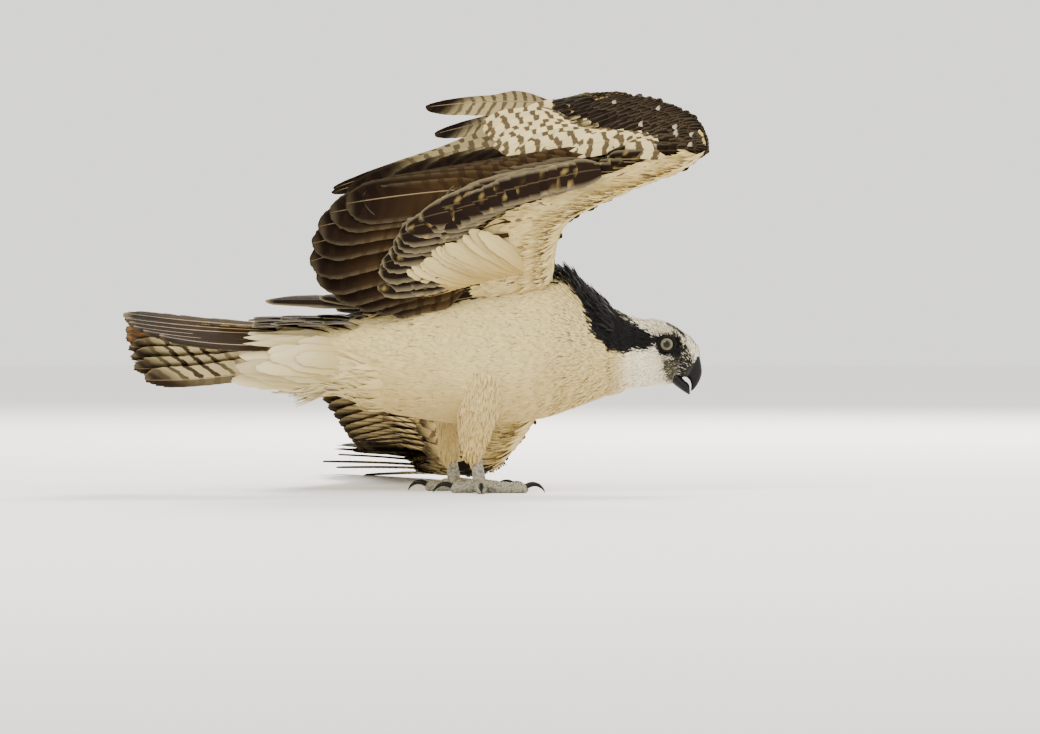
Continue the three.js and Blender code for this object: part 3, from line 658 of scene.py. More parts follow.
DORSAL = {
    "right_arm": np.array([0, 0.957, 0.29]), "right_hand": np.array([0.5, 0.83, -0.1]),
    "left_arm": np.array([0.25, 0.35, 0.9]), "left_hand": np.array([0.2, 0.1, 0.95]),
}
OUTER = {
    "right_arm": np.array([0, 0, 1.0]), "right_hand": np.array([0, 0.3, 0.95]),
    "left_arm": np.array([0.8, 0.5, -0.35]), "left_hand": np.array([0.95, 0.3, -0.2]),
}
BLADES = {"right_arm": ARM_RIGHT, "right_hand": HAND_RIGHT, "left_arm": ARM_LEFT, "left_hand": HAND_LEFT}


def eye_reach(points):
    """Distance from the eyes' common axis, in the x-z plane."""
    return np.hypot(points[..., 0] - EYE[0], points[..., 2] - EYE[2])


def spaced(points, count):
    """Points at equal distances along a smooth curve through the given ones."""
    fine = hermite(np.asarray(points, float), np.linspace(0, 1, 400))
    walked = np.concatenate([[0], np.cumsum(np.linalg.norm(np.diff(fine, axis=0), axis=1))])
    at = np.linspace(0, walked[-1], count)
    return np.stack([np.interp(at, walked, fine[:, k]) for k in range(3)], -1)


def capped(grids):
    """One set of points and faces from closed tubes of points, each end drawn together to its middle."""
    points, quads, caps, start = [], [], [], 0
    for grid in grids:
        rows, columns = grid.shape[:2]
        points.append(np.vstack([grid.reshape(-1, 3), grid[0].mean(0), grid[-1].mean(0)]))
        quads.append(grid_faces(rows, columns, wrap=True) + start)
        ring = np.arange(columns)
        after, last = (ring + 1) % columns, (rows - 1) * columns
        caps.append(np.stack([after, ring, np.full(columns, rows * columns)], -1) + start)
        caps.append(np.stack([last + ring, last + after, np.full(columns, rows * columns + 1)], -1) + start)
        start += len(points[-1])
    return np.vstack(points), np.vstack(quads).tolist() + np.vstack(caps).tolist()


SKIN_SINK, LEG_SKIN_SINK, VOXEL = 0.8, 2.5, 0.0024
SOCKET_REACH, SOCKET_FLOOR, SOCKET_RISE, SOCKET_INNER = 10.5, 18.6, 5.2, 12
WING_SKIN_Y, WING_SKIN_Z = 62, 232
DARK_RING_OUT, DARK_RING_IN = 13, 9


def closed_grid(rows, columns):
    """Parameters of a tube: from 0 to 1 along it, and once round without the last column."""
    return np.meshgrid(np.linspace(0, 1, rows), np.arange(columns) / columns, indexing="ij")


def make_skin():
    """Skin of body, thighs and wing bases: their surfaces sunk by the coat's depth, run together by a voxel
    remesh, with the eye sockets pressed in."""
    grids = [body_surface(*closed_grid(150, 72), -looks().coat_depth / MM)]
    for sections, side in ((THIGH_RIGHT, -LEG_SIDE), (THIGH_LEFT, LEG_SIDE)):
        grids.append(superellipse(sections, *closed_grid(50, 36), side=side, grow=-LEG_SKIN_SINK))
    u, c = np.meshgrid(np.linspace(0, 1, 70), np.linspace(0, 1, 30), indexing="ij")
    for key, sections in BLADES.items():
        upper, lower = (wing_surface(sections, DORSAL[key], u, c, face, -SKIN_SINK) for face in (1, -1))
        grids.append(np.concatenate([upper, lower[:, ::-1]], axis=1))
    points, faces = capped(grids)
    mesh = bpy.data.meshes.new("Skin_rough")
    mesh.from_pydata(((points - MIDDLE) * MM).tolist(), [], faces)
    rough = add_object("Skin_rough", mesh)
    remesh = rough.modifiers.new("Join", "REMESH")
    remesh.mode, remesh.voxel_size, remesh.use_smooth_shade = "VOXEL", VOXEL, True
    soften = rough.modifiers.new("Soften", "SMOOTH")
    soften.factor, soften.iterations = 0.5, 3
    made = bpy.data.meshes.new_from_object(rough.evaluated_get(bpy.context.evaluated_depsgraph_get()))
    bpy.data.objects.remove(rough)
    place, normal = (np.empty(len(made.vertices) * 3, np.float32) for _ in range(2))
    made.vertices.foreach_get("co", place)
    place = place.reshape(-1, 3).astype(float) / MM + MIDDLE
    reach, out = eye_reach(place), np.abs(place[:, 1])
    socket = (reach < SOCKET_REACH) & (out > SOCKET_INNER)
    deepest = SOCKET_FLOOR + SOCKET_RISE * (reach / SOCKET_REACH) ** 2
    place[socket, 1] = np.sign(place[socket, 1]) * np.minimum(out[socket], deepest[socket])
    made.vertices.foreach_set("co", ((place - MIDDLE) * MM).astype(np.float32).ravel())
    made.update()
    made.vertices.foreach_get("normal", normal)
    normal = normal.reshape(-1, 3)
    tint = plumage(place, normal, np.random.default_rng(3))
    on_wing = (np.abs(place[:, 1]) > WING_SKIN_Y) | (place[:, 2] > WING_SKIN_Z)
    upwards = normal[:, 1:2] + normal[:, 2:3] > 0
    tint = np.where(on_wing[:, None], np.where(upwards, looks_of("brown"), looks_of("lining")), tint)
    ring = smoothstep(DARK_RING_OUT, DARK_RING_IN, reach) * (np.abs(place[:, 1]) > 10)
    tint += (looks_of("mask") - tint) * ring[:, None]
    add_colours(made, "Tint", tint)
    finish_piece(add_object("Skin", made), "skin",
                 ("torso", "neck", "head", "thigh_right", "thigh_left"))


ROOT_UNDER = 0.6
CANDIDATES, LARGEST_AREA = 6, 0.98
LOOK_AHEAD, SHORTEST_LOOK, STEEPEST_FALL = 0.02, 4, 0.3


def scatter(surface, count, u_range, random, keep=None):
    """Roots spread evenly by area over part of a surface: candidates are kept with a chance that grows with
    the area that a small step of u and v covers there."""
    step = 0.002
    u = random.uniform(*u_range, count * CANDIDATES)
    v = random.uniform(0, 1, count * CANDIDATES)
    du = surface(np.clip(u + step, 0, 1), v) - surface(np.clip(u - step, 0, 1), v)
    dv = surface(u, v + step) - surface(u, v - step)
    area = np.linalg.norm(np.cross(du, dv), axis=-1)
    chosen = random.random(len(u)) < area / np.quantile(area, LARGEST_AREA)
    if keep is not None:
        chosen &= keep(surface(u, v))
    chosen = np.flatnonzero(chosen)[:count]
    return u[chosen], v[chosen]


def sized(length, width):
    """A size function that gives every tuft of a coat the same length and width."""
    return lambda place, normal: (np.full(len(place), length), np.full(len(place), width))


def make_coat(name, surface, u_range, count, size, random, towards=-1, rows=5, keep=None, spread=0.14,
              lift_range=(0.55, 1.12), tint=None, depth=None, facing=None, roll=0.14):
    """Small overlapping body feathers. Each root lies just under the skin and each tip near the outline of
    the plumage, further along the lie; size gives length and width by place and normal."""
    depth = depth or looks().coat_depth / MM
    u, v = scatter(surface, count, u_range, random, keep)
    count = len(u)
    place, normal, along_u = lie(surface, u, v)
    away = place - surface(u, v + 0.5) if facing is None else facing
    normal = normal * np.sign(np.sum(normal * away, -1, keepdims=True))
    length, width = size(place, normal)
    length = length * random.uniform(0.75, 1.25, count)
    width = width * random.uniform(0.8, 1.2, count)
    way = unit(along_u * towards + np.cross(normal, along_u) * random.normal(0, spread, (count, 1)))
    root = place - normal * (depth + ROOT_UNDER)
    lift = depth * random.uniform(*lift_range, (count, 1))
    # How far the surface falls away ahead of each root, so that the tips follow its curve
    ahead = surface(np.clip(u + towards * LOOK_AHEAD, 0, 1), v) - place
    reach = np.maximum(np.linalg.norm(ahead, axis=-1, keepdims=True), SHORTEST_LOOK)
    fall = np.sum(ahead * normal, -1, keepdims=True) * np.minimum(length[:, None] / reach, 3) ** 2
    fall = np.clip(fall, -STEEPEST_FALL * length[:, None], STEEPEST_FALL * length[:, None])
    tip = root + way * length[:, None] + normal * (lift + ROOT_UNDER + fall)
    sheets, t, a = feathers(root, tip, np.cross(normal, way), normal, width, 0.5, "tuft", rows, 3, random,
                            sag=length * 0.07, roll=random.normal(0, roll, count), cup=0.1, ragged=0.0,
                            both=False)
    shape = sheets.shape[:4]
    colour = (tint or plumage)(place + way * length[:, None] * 0.6, normal, random)[:, None, None, None, :]
    # Each tuft is darker towards its root: painted shade where the tufts above overlap it
    colour = colour * (0.86 + 0.14 * smoothstep(0.0, 0.5, t))[:, None, :, :, None] * np.ones(shape + (1,))
    made = feather_mesh(name, sheets, uvs={
        "OFBake": root_map(u, v % 1, *shape[1:]),
        "Vane": vane_map(shape, t, a, length, width),
    }, colours={"Tint": colour})
    finish_piece(made, "plumage")


# Vanes: each look gives colours of base and tip, where the tip's colour starts and is full, then the
# strength of the pale rim, of the bars and of the shaft line


def vane_look(base, tip, start, full, rim=0.0, bars=0.0, shaft=0.5, fleck=0.0, mottle=0.0):
    return {"base": looks_of(base), "tip": looks_of(tip), "start": start, "full": full, "rim": rim,
            "bars": bars, "shaft": shaft, "fleck": fleck, "mottle": mottle}


VANE_FLICKER = 0.08


def shade_sides(shape, t, a, back, belly, random):
    """Colours and marks of vanes on both faces: red is bar strength, green shifts the bars, blue the shaft."""
    copies, layers, rows, columns = shape
    colour = np.empty(shape + (3,))
    mark = np.zeros(shape + (3,))
    flicker = 1 + random.normal(0, VANE_FLICKER, (copies, 1, 1, 1))
    shift = random.random((copies, 1, 1))
    chance = random.random((copies, 1, 1, 1))
    for layer, look in enumerate((back, belly)[:layers]):
        dark = smoothstep(look["start"], look["full"], t + 0.06 * a)[..., None]
        sheet = look["base"] * (1 - dark) + look["tip"] * dark
        sheet = np.broadcast_to(sheet, (copies, rows, columns, 3)) * flicker
        edge = np.maximum(smoothstep(0.78, 1.0, np.abs(a)), smoothstep(0.95, 0.998, t))[..., None]
        sheet = sheet + (looks_of("crown") - sheet) * 0.45 * (chance < look["fleck"]) * (t > 0.75)[..., None]
        patch = np.sin(17 * t + 40 * shift) * np.sin(4 * a + 30 * shift) * (chance[..., 0] > 0.4)
        sheet = sheet + (looks_of("lining") - sheet) * (look["mottle"] * smoothstep(0.55, 1.0, patch))[..., None]
        colour[:, layer] = sheet + (looks_of("rim") - sheet) * edge * look["rim"]
        mark[:, layer, ..., 0] = look["bars"] * (1 - 0.6 * dark[..., 0])
        mark[:, layer, ..., 1] = shift
        mark[:, layer, ..., 2] = look["shaft"]
    return np.clip(colour, 0.002, 1), mark


def vane_batch(root, tip, outer, dorsal, width, share, shape, back, belly, random, rows, columns, tweak=None,
               **form):
    """Sheets, vane map, colours and marks of like feathers."""
    width = np.broadcast_to(np.asarray(width, float), (len(root),))
    sheets, t, a = feathers(root, tip, outer, dorsal, width, share, shape, rows, columns, random, **form)
    colour, mark = shade_sides(sheets.shape[:4], t, a, back, belly, random)
    if tweak:
        tweak(colour, mark, t, a)
    length = np.linalg.norm(tip - root, axis=-1)
    return sheets, vane_map(sheets.shape[:4], t, a, length, width), colour, mark


def vane_piece(name, batches, finish, replaced=()):
    """One piece of the scene from batches of vanes."""
    sheets, place, colour, mark = (np.concatenate(part) for part in zip(*batches))
    made = feather_mesh(name, sheets, uvs={"OFBake": strip_map(*sheets.shape[:4]), "Vane": place},
                        colours={"Tint": colour, "Mark": mark})
    finish_piece(made, finish, replaced)


def chord_coverts(key, face, plan, random, rows, columns, span=(0.0, 1.0)):
    """Rows of coverts over one face of a wing base. Each row of the plan gives its place along the chord, its
    number, length and width, and its look; feathers point to the trailing edge and a little outwards."""
    sections, dorsal = BLADES[key], DORSAL[key]

    def on_wing(u, c, grow=0.0):
        return wing_surface(sections, dorsal, np.clip(u, 0, 1), c, face, grow)

    batches = []
    for c, count, length, width, look in plan:
        u = np.clip(np.linspace(*span, count) + random.normal(0, 0.2 / count, count), 0, 1)
        lean = random.normal(0, 0.012, count) + c
        root = on_wing(u, lean, -1.5)
        s = hermite(sections, u)
        chord = np.linalg.norm(s[:, 3:6] - s[:, :3], axis=-1)
        grown = length * random.uniform(0.88, 1.12, count)
        ahead = on_wing(u + 0.12 * grown / 200, lean + grown / chord, 1.2)
        tip = ahead + unit(dorsal)[None] * face * random.uniform(0.4, 1.8, (count, 1))
        outer = unit(on_wing(u + 0.02, lean) - on_wing(u - 0.02, lean))
        batches.append(vane_batch(
            root, tip, outer, dorsal, width * random.uniform(0.9, 1.1, count), 0.5, "covert", look, look, random,
            rows, columns, sag=0.05 * grown * face, roll=random.normal(0.08, 0.05, count) * face,
            cup=0.05 * face))
    return batches


FLIGHT_ROOTS = {
    "right_arm": [[176, -94, 332], [100, -86, 308], [46, -80, 280], [36, -68, 244], [10, -50, 208]],
    "right_hand": [[184, -92, 352], [150, -76, 358], [112, -44, 374], [100, -20, 386]],
    "left_arm": [[6, 254, 34], [-10, 200, 78], [-30, 140, 118], [-20, 80, 148]],
    "left_hand": [[4, 266, 28], [-4, 300, 22], [-12, 340, 14], [-12, 356, 9]],
}
SECONDARY_TIPS = {
    "right_arm": [[-15, -52, 303], [-80, -60, 296], [-125, -66, 287], [-151, -64, 264], [-157, -54, 222],
                  [-128, -50, 200], [-84, -44, 194]],
    "left_arm": [[-112, 425, 31], [-116, 372, 38], [-130, 312, 58], [-150, 240, 92], [-158, 160, 122]],
}
GREAT_COVERTS = {
    "right_arm": ([[120, -90, 322], [60, -84, 306], [10, -77, 282], [-24, -66, 250], [-30, -52, 214]],
                  [[40, -77, 304], [-20, -76, 290], [-60, -72, 266], [-82, -64, 238], [-88, -50, 208]]),
    "right_hand": ([[168, -88, 352], [120, -60, 358], [84, -24, 376]],
                   [[70, -52, 334], [10, -14, 334], [-10, 34, 366]]),
    "left_arm": ([[0, 250, 38], [-24, 196, 84], [-44, 130, 124], [-40, 70, 152]],
                 [[-70, 328, 44], [-92, 258, 84], [-112, 184, 118], [-116, 104, 146]]),
    "left_hand": ([[0, 268, 30], [-10, 310, 22], [-14, 352, 12]],
                  [[-66, 358, 38], [-82, 420, 32], [-72, 476, 14]]),
}
FLIGHT_ROWS, FLIGHT_COLUMNS = 40, 11


def darken_outer_web(colour, mark, t, a):
    """Outer webs are darker than inner ones, most of all on the back."""
    web = smoothstep(0.0, 0.35, a)[None] * np.array([0.5, 0.18])[None, :, None, None]
    colour += (looks_of("flight_tip") - colour) * web[..., None]


def make_flight(name, key, random):
    """Primaries or secondaries of one part of a wing, and their shafts. The outer four primaries are notched."""
    right, hand = key.startswith("right"), key.endswith("hand")
    if hand:
        tips, count, bend = PRIMARY_TIPS_RIGHT if right else PRIMARY_TIPS_LEFT, 10, 6.0
        sag, roll, raised, radius = 5.0 if right else 3.0, 0.12 if right else 0.1, 0.0, 1.4
        back = vane_look("flight_back", "flight_tip", 0.4, 0.8, rim=0.1, bars=0.35)
        # The far wing's pale bases are lighter than the near wing's: their own pale tone with painted back light
        # shining through
        belly = vane_look("primary_pale" if right else "far_pale_backlit", "flight_tip", 0.68 if right else 0.6, 0.88,
                          rim=0.05, bars=0.75)
        groups = ((slice(0, 6), "flight", 44, 0.38), (slice(6, 10), "notched", 36, 0.3))
    else:
        count, bend = 16 if right else 15, 5.0
        tips = spaced(SECONDARY_TIPS[key], count)
        sag, roll, raised, radius = 7.0 if right else 5.0, 0.14, 3.5, 1.0
        back = vane_look("brown", "brown_dark", 0.3, 0.9, rim=0.2, bars=0.25)
        # The far wing's secondaries below take the same pale colour: their own tone with painted back light
        belly = vane_look("secondary" if right else "far_pale_backlit", "flight_tip", 0.3 if right else 0.68, 0.95,
                          rim=0.15, bars=0.7)
        groups = ((slice(0, count), "flight", 44, 0.42),)
    roots = spaced(FLIGHT_ROOTS[key], count) + unit(DORSAL[key]) * raised
    batches = []
    for part, shape, width, share in groups:
        batches.append(vane_batch(
            roots[part], tips[part], OUTER[key], DORSAL[key], width + random.normal(0, 0.8, len(roots[part])),
            share, shape, back, belly, random, FLIGHT_ROWS, FLIGHT_COLUMNS, tweak=darken_outer_web, bend=bend,
            sag=sag, roll=roll, cup=0.05, ragged=0.012))
    vane_piece(name, batches, "flight", ("wing_" + key,))
    quills(name + "_shafts", roots, tips, OUTER[key], DORSAL[key], bend, sag, radius)


def great_coverts(key, count, length_share, look, random, lift, width, slide):
    """One row of large coverts from the row's own line to its ends, lifted to lie on one face."""
    start, end = (spaced(line, count) for line in GREAT_COVERTS[key])
    way = end - start
    root = start - way * slide + unit(DORSAL[key]) * lift
    tip = root + way * length_share * random.uniform(0.93, 1.07, (count, 1))
    face = 1 if lift > 0 else -1
    width = width * random.uniform(0.9, 1.1, count)
    return vane_batch(root, tip, OUTER[key], DORSAL[key], width, 0.45, "covert", look, look, random, 16, 7,
                      bend=2.0, sag=2.5 * face, roll=0.12, cup=0.05 * face)


def make_wing_coverts(side, random):
    """Coverts of one wing, both faces: brown with pale rims above; cream lining, dark carpal patch and dark
    pale-rimmed greater coverts below, which on the far wing are pale and barred as painted back light. The rows
    of a plan run from the wing's middle to its leading edge."""
    near, arm, hand = side == "right", side + "_arm", side + "_hand"
    back = vane_look("brown", "brown_dark", 0.3, 0.9, rim=0.28, shaft=0.25)
    carpal = vane_look("mask", "covert_dark", 0.2, 0.9, rim=0.1, shaft=0.1, fleck=0.05)
    # The far wing's coverts below are pale and barred where the near wing's are dark: painted back light through
    # the far wing
    middle = great = pale = vane_look("far_pale_backlit", "brown", 0.6, 1.0, rim=0.2, bars=0.8)
    if near:
        middle = vane_look("covert_dark", "brown_dark", 0.2, 0.8, rim=0.25, mottle=0.5)
        great = vane_look("covert_dark", "brown_dark", 0.3, 0.9, rim=0.3, shaft=0.15, mottle=0.5)
        pale = vane_look("primary_pale", "covert_dark", 0.93, 1.25, bars=0.9, shaft=0.3)
    plans = (
        (arm, [(0.52, 30, 50, 23, middle)],
         [(0.5, 30, 54, 22, back), (0.36, 34, 42, 19, back), (0.24, 38, 32, 16, back)],
         [],
         [(0.14, 46, 24, 12, back), (0.07, 56, 20, 10, back), (0.02, 70, 15, 9, back)]),
        (hand, [(0.5, 16, 42, 18, pale), (0.36, 20, 34, 16, carpal), (0.24, 22, 28, 15, carpal)],
         [(0.5, 14, 50, 20, back), (0.34, 18, 38, 17, back), (0.2, 22, 28, 14, back)],
         [(0.14, 26, 20, 11, carpal), (0.06, 30, 17, 9, carpal), (-0.01, 34, 14, 8, carpal)],
         [(0.1, 26, 20, 11, back), (0.03, 30, 17, 9, back), (-0.02, 34, 13, 8, back)]),
    )
    large, small = [], []
    for key, belly, top, small_belly, small_top in plans:
        large += chord_coverts(key, -1, belly, random, 16, 7) + chord_coverts(key, 1, top, random, 16, 7)
        small += chord_coverts(key, -1, small_belly, random, 9, 5, span=(0.0, 0.78))
        small += chord_coverts(key, 1, small_top, random, 9, 5)
    low, high = -6, 9 if near else 8
    for key, count, share, look, lift, width, slide in (
            (arm, 22, 1.0, great, low, 30, 0.0), (arm, 22, 1.0, back, high, 30, 0.0),
            (arm, 24, 0.7, great, low - 2.2, 27, 0.12), (hand, 13, 0.74, pale, -4, 23, 0.0),
            (hand, 12, 0.6 if near else 0.9, back, 6, 26, 0.0)):
        large.append(great_coverts(key, count, share, look, random, lift, width, slide))
    vane_piece(f"Wing_{side}_greater_coverts", large, "covert")
    vane_piece(f"Wing_{side}_lesser_coverts", small, "covert")


def make_axillars(random):
    """The fan of long cream feathers in the right wing's armpit."""
    look, number = vane_look("lining", "lining_pale", 0.1, 0.9, shaft=0.25), 22
    root = spaced([[70, -42, 218], [46, -52, 220], [10, -54, 212], [-26, -50, 203]], number)
    tip = spaced([[8, -88, 264], [-30, -84, 242], [-58, -70, 222], [-70, -54, 204]], number)
    tip = tip + random.normal(0, 2.5, tip.shape)
    batch = vane_batch(root, tip, OUTER["right_arm"], -DORSAL["right_arm"], 17, 0.5, "covert", look, look,
                       random, 20, 9, sag=2.0, roll=random.normal(0, 0.1, number), cup=0.12, ragged=0.05)
    vane_piece("Axillars_right", [batch], "covert")


def make_lining(side, random):
    """Soft cream lining under the wing base, with a few brown streaks by the leading edge."""
    sections, dorsal = BLADES[side + "_arm"], DORSAL[side + "_arm"]

    def surface(u, v):
        return wing_surface(sections, dorsal, v, u, -1)

    def lining_tint(place, normal, random):
        count = len(place)
        colour = looks_of("lining") + (looks_of("lining_pale") - looks_of("lining")) * random.random((count, 1))
        colour[random.random(count) < 0.03] = looks_of("streak")
        return colour * random.uniform(0.92, 1.06, (count, 1))

    make_coat(f"Lining_{side}", surface, (0.0, 0.6), 5400, sized(21.0, 7.5), random, towards=1, rows=6,
              depth=1.6, lift_range=(0.6, 2.2), facing=-dorsal, tint=lining_tint, spread=0.2)


def make_wing(side, seed):
    """Flight feathers, coverts and lining of one wing."""
    random = np.random.default_rng(seed)
    make_flight(f"Secondaries_{side}", side + "_arm", random)
    make_flight(f"Primaries_{side}", side + "_hand", random)
    make_wing_coverts(side, random)
    if side == "right":
        make_axillars(random)
    make_lining(side, random)


FROM_TAIL_MIDDLE = np.abs(np.arange(len(TAIL_TIPS)) - (len(TAIL_TIPS) - 1) / 2)


def tail_tweak(colour, mark, t, a):
    """Dark outer webs save on the middle pair, bars that fade towards the root, and painted back light glowing
    in the middle tips.
    """
    web = smoothstep(0.02, 0.2, a)[None] * 0.75 * np.ones(colour.shape[:4])
    web = web * (FROM_TAIL_MIDDLE > 1)[:, None, None, None]
    colour += (looks_of("tail_dark") - colour) * web[..., None]
    mark[..., 0] *= (1 - web) * smoothstep(0.3, 0.6, t)[:, None]
    # Painted back light: the middle pair's tips are tinted as if lamp light shone through them
    painted_glow = smoothstep(0.62, 0.85, t)[0] * smoothstep(-1.0, -0.4, -np.abs(a))[0]
    colour[6:8] += (looks_of("backlit") - colour[6:8]) * (0.7 * painted_glow)[..., None]


def make_tail(random):
    """Twelve tail feathers with dark outer webs and barred pale inner ones, their shafts, and the coverts
    above, below and beside the tail's root."""
    up = np.array([0, 0, 1.0])
    roots, outers, from_middle = [], [], FROM_TAIL_MIDDLE - 0.5
    for i, m in enumerate(from_middle):
        right = i < len(TAIL_TIPS) // 2
        roots.append([-150, -3 - 2.8 * m, 163 - 2.2 * m] if right else [-150, 3 + 2.8 * m, 158 - 3.4 * m])
        outers.append([0, -0.9, -0.44] if right else [0, 0.77, -0.63])
    roots, outers, bends = np.array(roots), np.array(outers), 2.0 * from_middle
    back = vane_look("tail_brown", "flight_tip", 0.6, 0.92, rim=0.6, bars=0.6)
    belly = vane_look("tail_pale", "tail_dark", 0.7, 0.93, rim=0.35, bars=0.95)
    batch = vane_batch(roots, TAIL_TIPS, outers, up, 40, 0.5 - 0.04 * from_middle, "flight", back, belly, random,
                       FLIGHT_ROWS, FLIGHT_COLUMNS, tweak=tail_tweak, bend=bends, sag=-3.0, roll=0.12, cup=0.05)
    vane_piece("Tail_feathers", [batch], "flight", ("tail",))
    quills("Tail_shafts", roots, TAIL_TIPS, outers, up, bends, -3.0, 1.4)
    batches = []

    def covert_row(root, tip, outer, lifted, width, look, sag, scatter_by, turn, **form):
        tip = tip + random.normal(0, 3.0, tip.shape) * scatter_by
        batches.append(vane_batch(root, tip, outer, lifted, width, 0.5, "covert", look, look, random, 14, 7,
                                  sag=sag, roll=random.normal(0, turn, len(root)), **form))

    upper = vane_look("brown", "brown_dark", 0.3, 0.9, rim=0.35, shaft=0.2)
    under = vane_look("cream", "white_tip", 0.35, 1.5, shaft=0.1)
    for look, lines, width in ((upper, 4, 20.4), (under, 3, 17.0)):
        for row in range(lines):
            y = np.linspace(-26, 26, 9) + random.normal(0, 1.2, 9)
            step = row * 14
            if look is upper:
                root = np.stack([-140 + step + 0 * y, 0.8 * y, 169 - 0.3 * np.abs(y) + 0.6 * row], -1)
                tip = np.stack([-216 + step * 1.6 + 0 * y, 1.3 * y, 175 - 0.34 * np.abs(y) + 1.0 * row], -1)
            else:
                root = np.stack([-150 + step + 0 * y, 0.7 * y, 107 + 0.35 * np.abs(y) - 0.8 * row], -1)
                tip = np.stack([-222 + step * 1.6 + 0 * y, 1.1 * y, 116 + 0.3 * np.abs(y) - 2.0 * row], -1)
            covert_row(root, tip, np.array([0, 1.0, 0]), up if look is upper else -up, width, look, 3.0,
                       [1, 0.5, 0.3], 0.1, cup=0.08)
    for side in (-1.0, 1.0):
        for row in range(3):
            share = np.linspace(0, 1, 7) + random.normal(0, 0.03, 7)
            bulge = np.sin(math.pi * share)
            root = np.stack([-128 + 9 * row + 0 * share, side * (16 + 8 * bulge), 111 + 40 * share], -1)
            tip = np.stack([-236 + 26 * row + 10 * share, side * (24 + 24 * bulge),
                            114 + (41 if side < 0 else 24) * share], -1)
            covert_row(root, tip, up, np.array([0, side, 0]), 17, under, 4.0, [1.4, 0.4, 0.6], 0.15, cup=0.1,
                       ragged=0.06)
    vane_piece("Tail_coverts", batches, "covert")


def over_body(x, y):
    """Half width of the body at x, and the height of its upper outline over x and y."""
    s = hermite(BODY, np.interp(x, BODY[:, 0], np.linspace(0, 1, len(BODY))))
    half = np.maximum(s[:, 4], 1)
    share = np.clip(np.abs(y) / half, 0, 0.97)
    top = (s[:, 1] + s[:, 3]) / 2 + (s[:, 1] - s[:, 3]) / 2 * (1 - share ** 2.2) ** (1 / 2.2)
    return half, top


def make_shoulders(random):
    """Scapulars and tertials: long brown pale-rimmed feathers that lie over the back towards the tail."""
    look = vane_look("brown", "brown_dark", 0.3, 0.9, rim=0.35, shaft=0.25)
    up, batches = np.array([0, 0, 1.0]), []
    for side in (-1.0, 1.0):
        for row in range(7):
            y = side * np.linspace(4, 28 if side < 0 else 46, 8) + random.normal(0, 1.5, 8)
            x = 84 - row * 20 + random.normal(0, 2, 8)
            half, top = over_body(x, y)
            length = random.uniform(0.9, 1.1, 8) * (38 + 5 * row)
            wide, low = over_body(x - length, y)
            inwards = np.minimum(1, wide / half * 1.05)
            tip = np.stack([x - length, y * inwards, low + random.uniform(0.5, 2, 8)], -1)
            batches.append(vane_batch(np.stack([x, y, top - 4], -1), tip, np.array([0, side, 0]), up, 19, 0.5,
                                      "covert", look, look, random, 16, 7, sag=2.0,
                                      roll=random.normal(0.1, 0.06, 8), cup=0.06))
    roots = np.array([[-60, -20, 186], [-55, -30, 180], [-60, 18, 186], [-50, 34, 180]], float)
    tips = np.array([[-204, -18, 192], [-150, -30, 196], [-168, 20, 189], [-135, 40, 184]], float)
    batches.append(vane_batch(roots, tips, np.array([0, 1.0, 0]), up, 23, 0.5, "covert", look, look, random, 16,
                              7, sag=3.0, roll=0.55, cup=0.08))
    vane_piece("Shoulder_feathers", batches, "covert")


def make_body_coat(random):
    """Body feathers of rump, belly, breast and back in pieces along the body, and loose ones by the tail."""
    def size(place, normal):
        soft = smoothstep(0.3, -0.5, normal[:, 2])
        return 15 + 6 * soft, 7.4 + 2.0 * soft

    for name, span, count in (("Coat_rump", (0.0, 0.19), 3600), ("Coat_belly", (0.16, 0.34), 8000),
                              ("Coat_breast", (0.3, 0.48), 9000)):
        make_coat(name, body_surface, span, count, size, random)

    def undertail_tint(place, normal, random):
        pale = 0.5 * smoothstep(-95, -175, place[:, 0] + random.normal(0, 14, len(place)))[:, None]
        white = looks_of("white_tip") * random.uniform(0.75, 1.0, (len(place), 1))
        return plumage(place, normal, random) * (1 - pale) + white * pale

    make_coat("Coat_undertail", body_surface, (0.02, 0.24), 1200, sized(30.0, 7.5), random,
              keep=lambda place: place[:, 2] < 128, spread=0.24, lift_range=(0.7, 2.6), rows=8,
              tint=undertail_tint)


BARE_ROUND_EYE, HEAD_CORE = 11.0, 8


def away_from_eye(place):
    """True where feathers may grow: outside the bare ring round each eye."""
    return (eye_reach(place) > BARE_ROUND_EYE) | (np.abs(place[:, 1]) < HEAD_CORE)


def head_size(place, normal):
    """Feathers are shortest round the eyes and at the bill, and a little longer on the crown."""
    near = smoothstep(150, 205, place[:, 0])
    crown = smoothstep(0.2, 0.8, normal[:, 2])
    small = smoothstep(24, 12, eye_reach(place))
    length = (12.0 - 5.0 * near + 1.5 * crown) * (1 - 0.35 * small)
    return length, length * 0.3


def bristle_tint(place, normal, random):
    """White feathers run down over the front of the bill's base between two dark lines; its sides are dark
    bristles with a few pale ones."""
    grain = random.normal(0, 0.8, len(place))
    front = 214 + 0.31 * (157 - place[:, 2]) + grain
    pale = smoothstep(-1, 1.5, place[:, 0] - front) * smoothstep(128, 134, place[:, 2] + 2 * grain)
    pale = np.maximum(pale, 0.45 * (random.random(len(place)) < 0.22))[:, None]
    colour = looks_of("gape") * 0.6 * (1 - pale) + looks_of("crown") * pale
    middle = smoothstep(1.4, 0.7, np.abs(np.abs(place[:, 1]) - 2.6))[:, None]
    colour = colour + (looks_of("mask") - colour) * middle * 0.8
    return colour * random.uniform(0.7, 1.15, (len(place), 1))


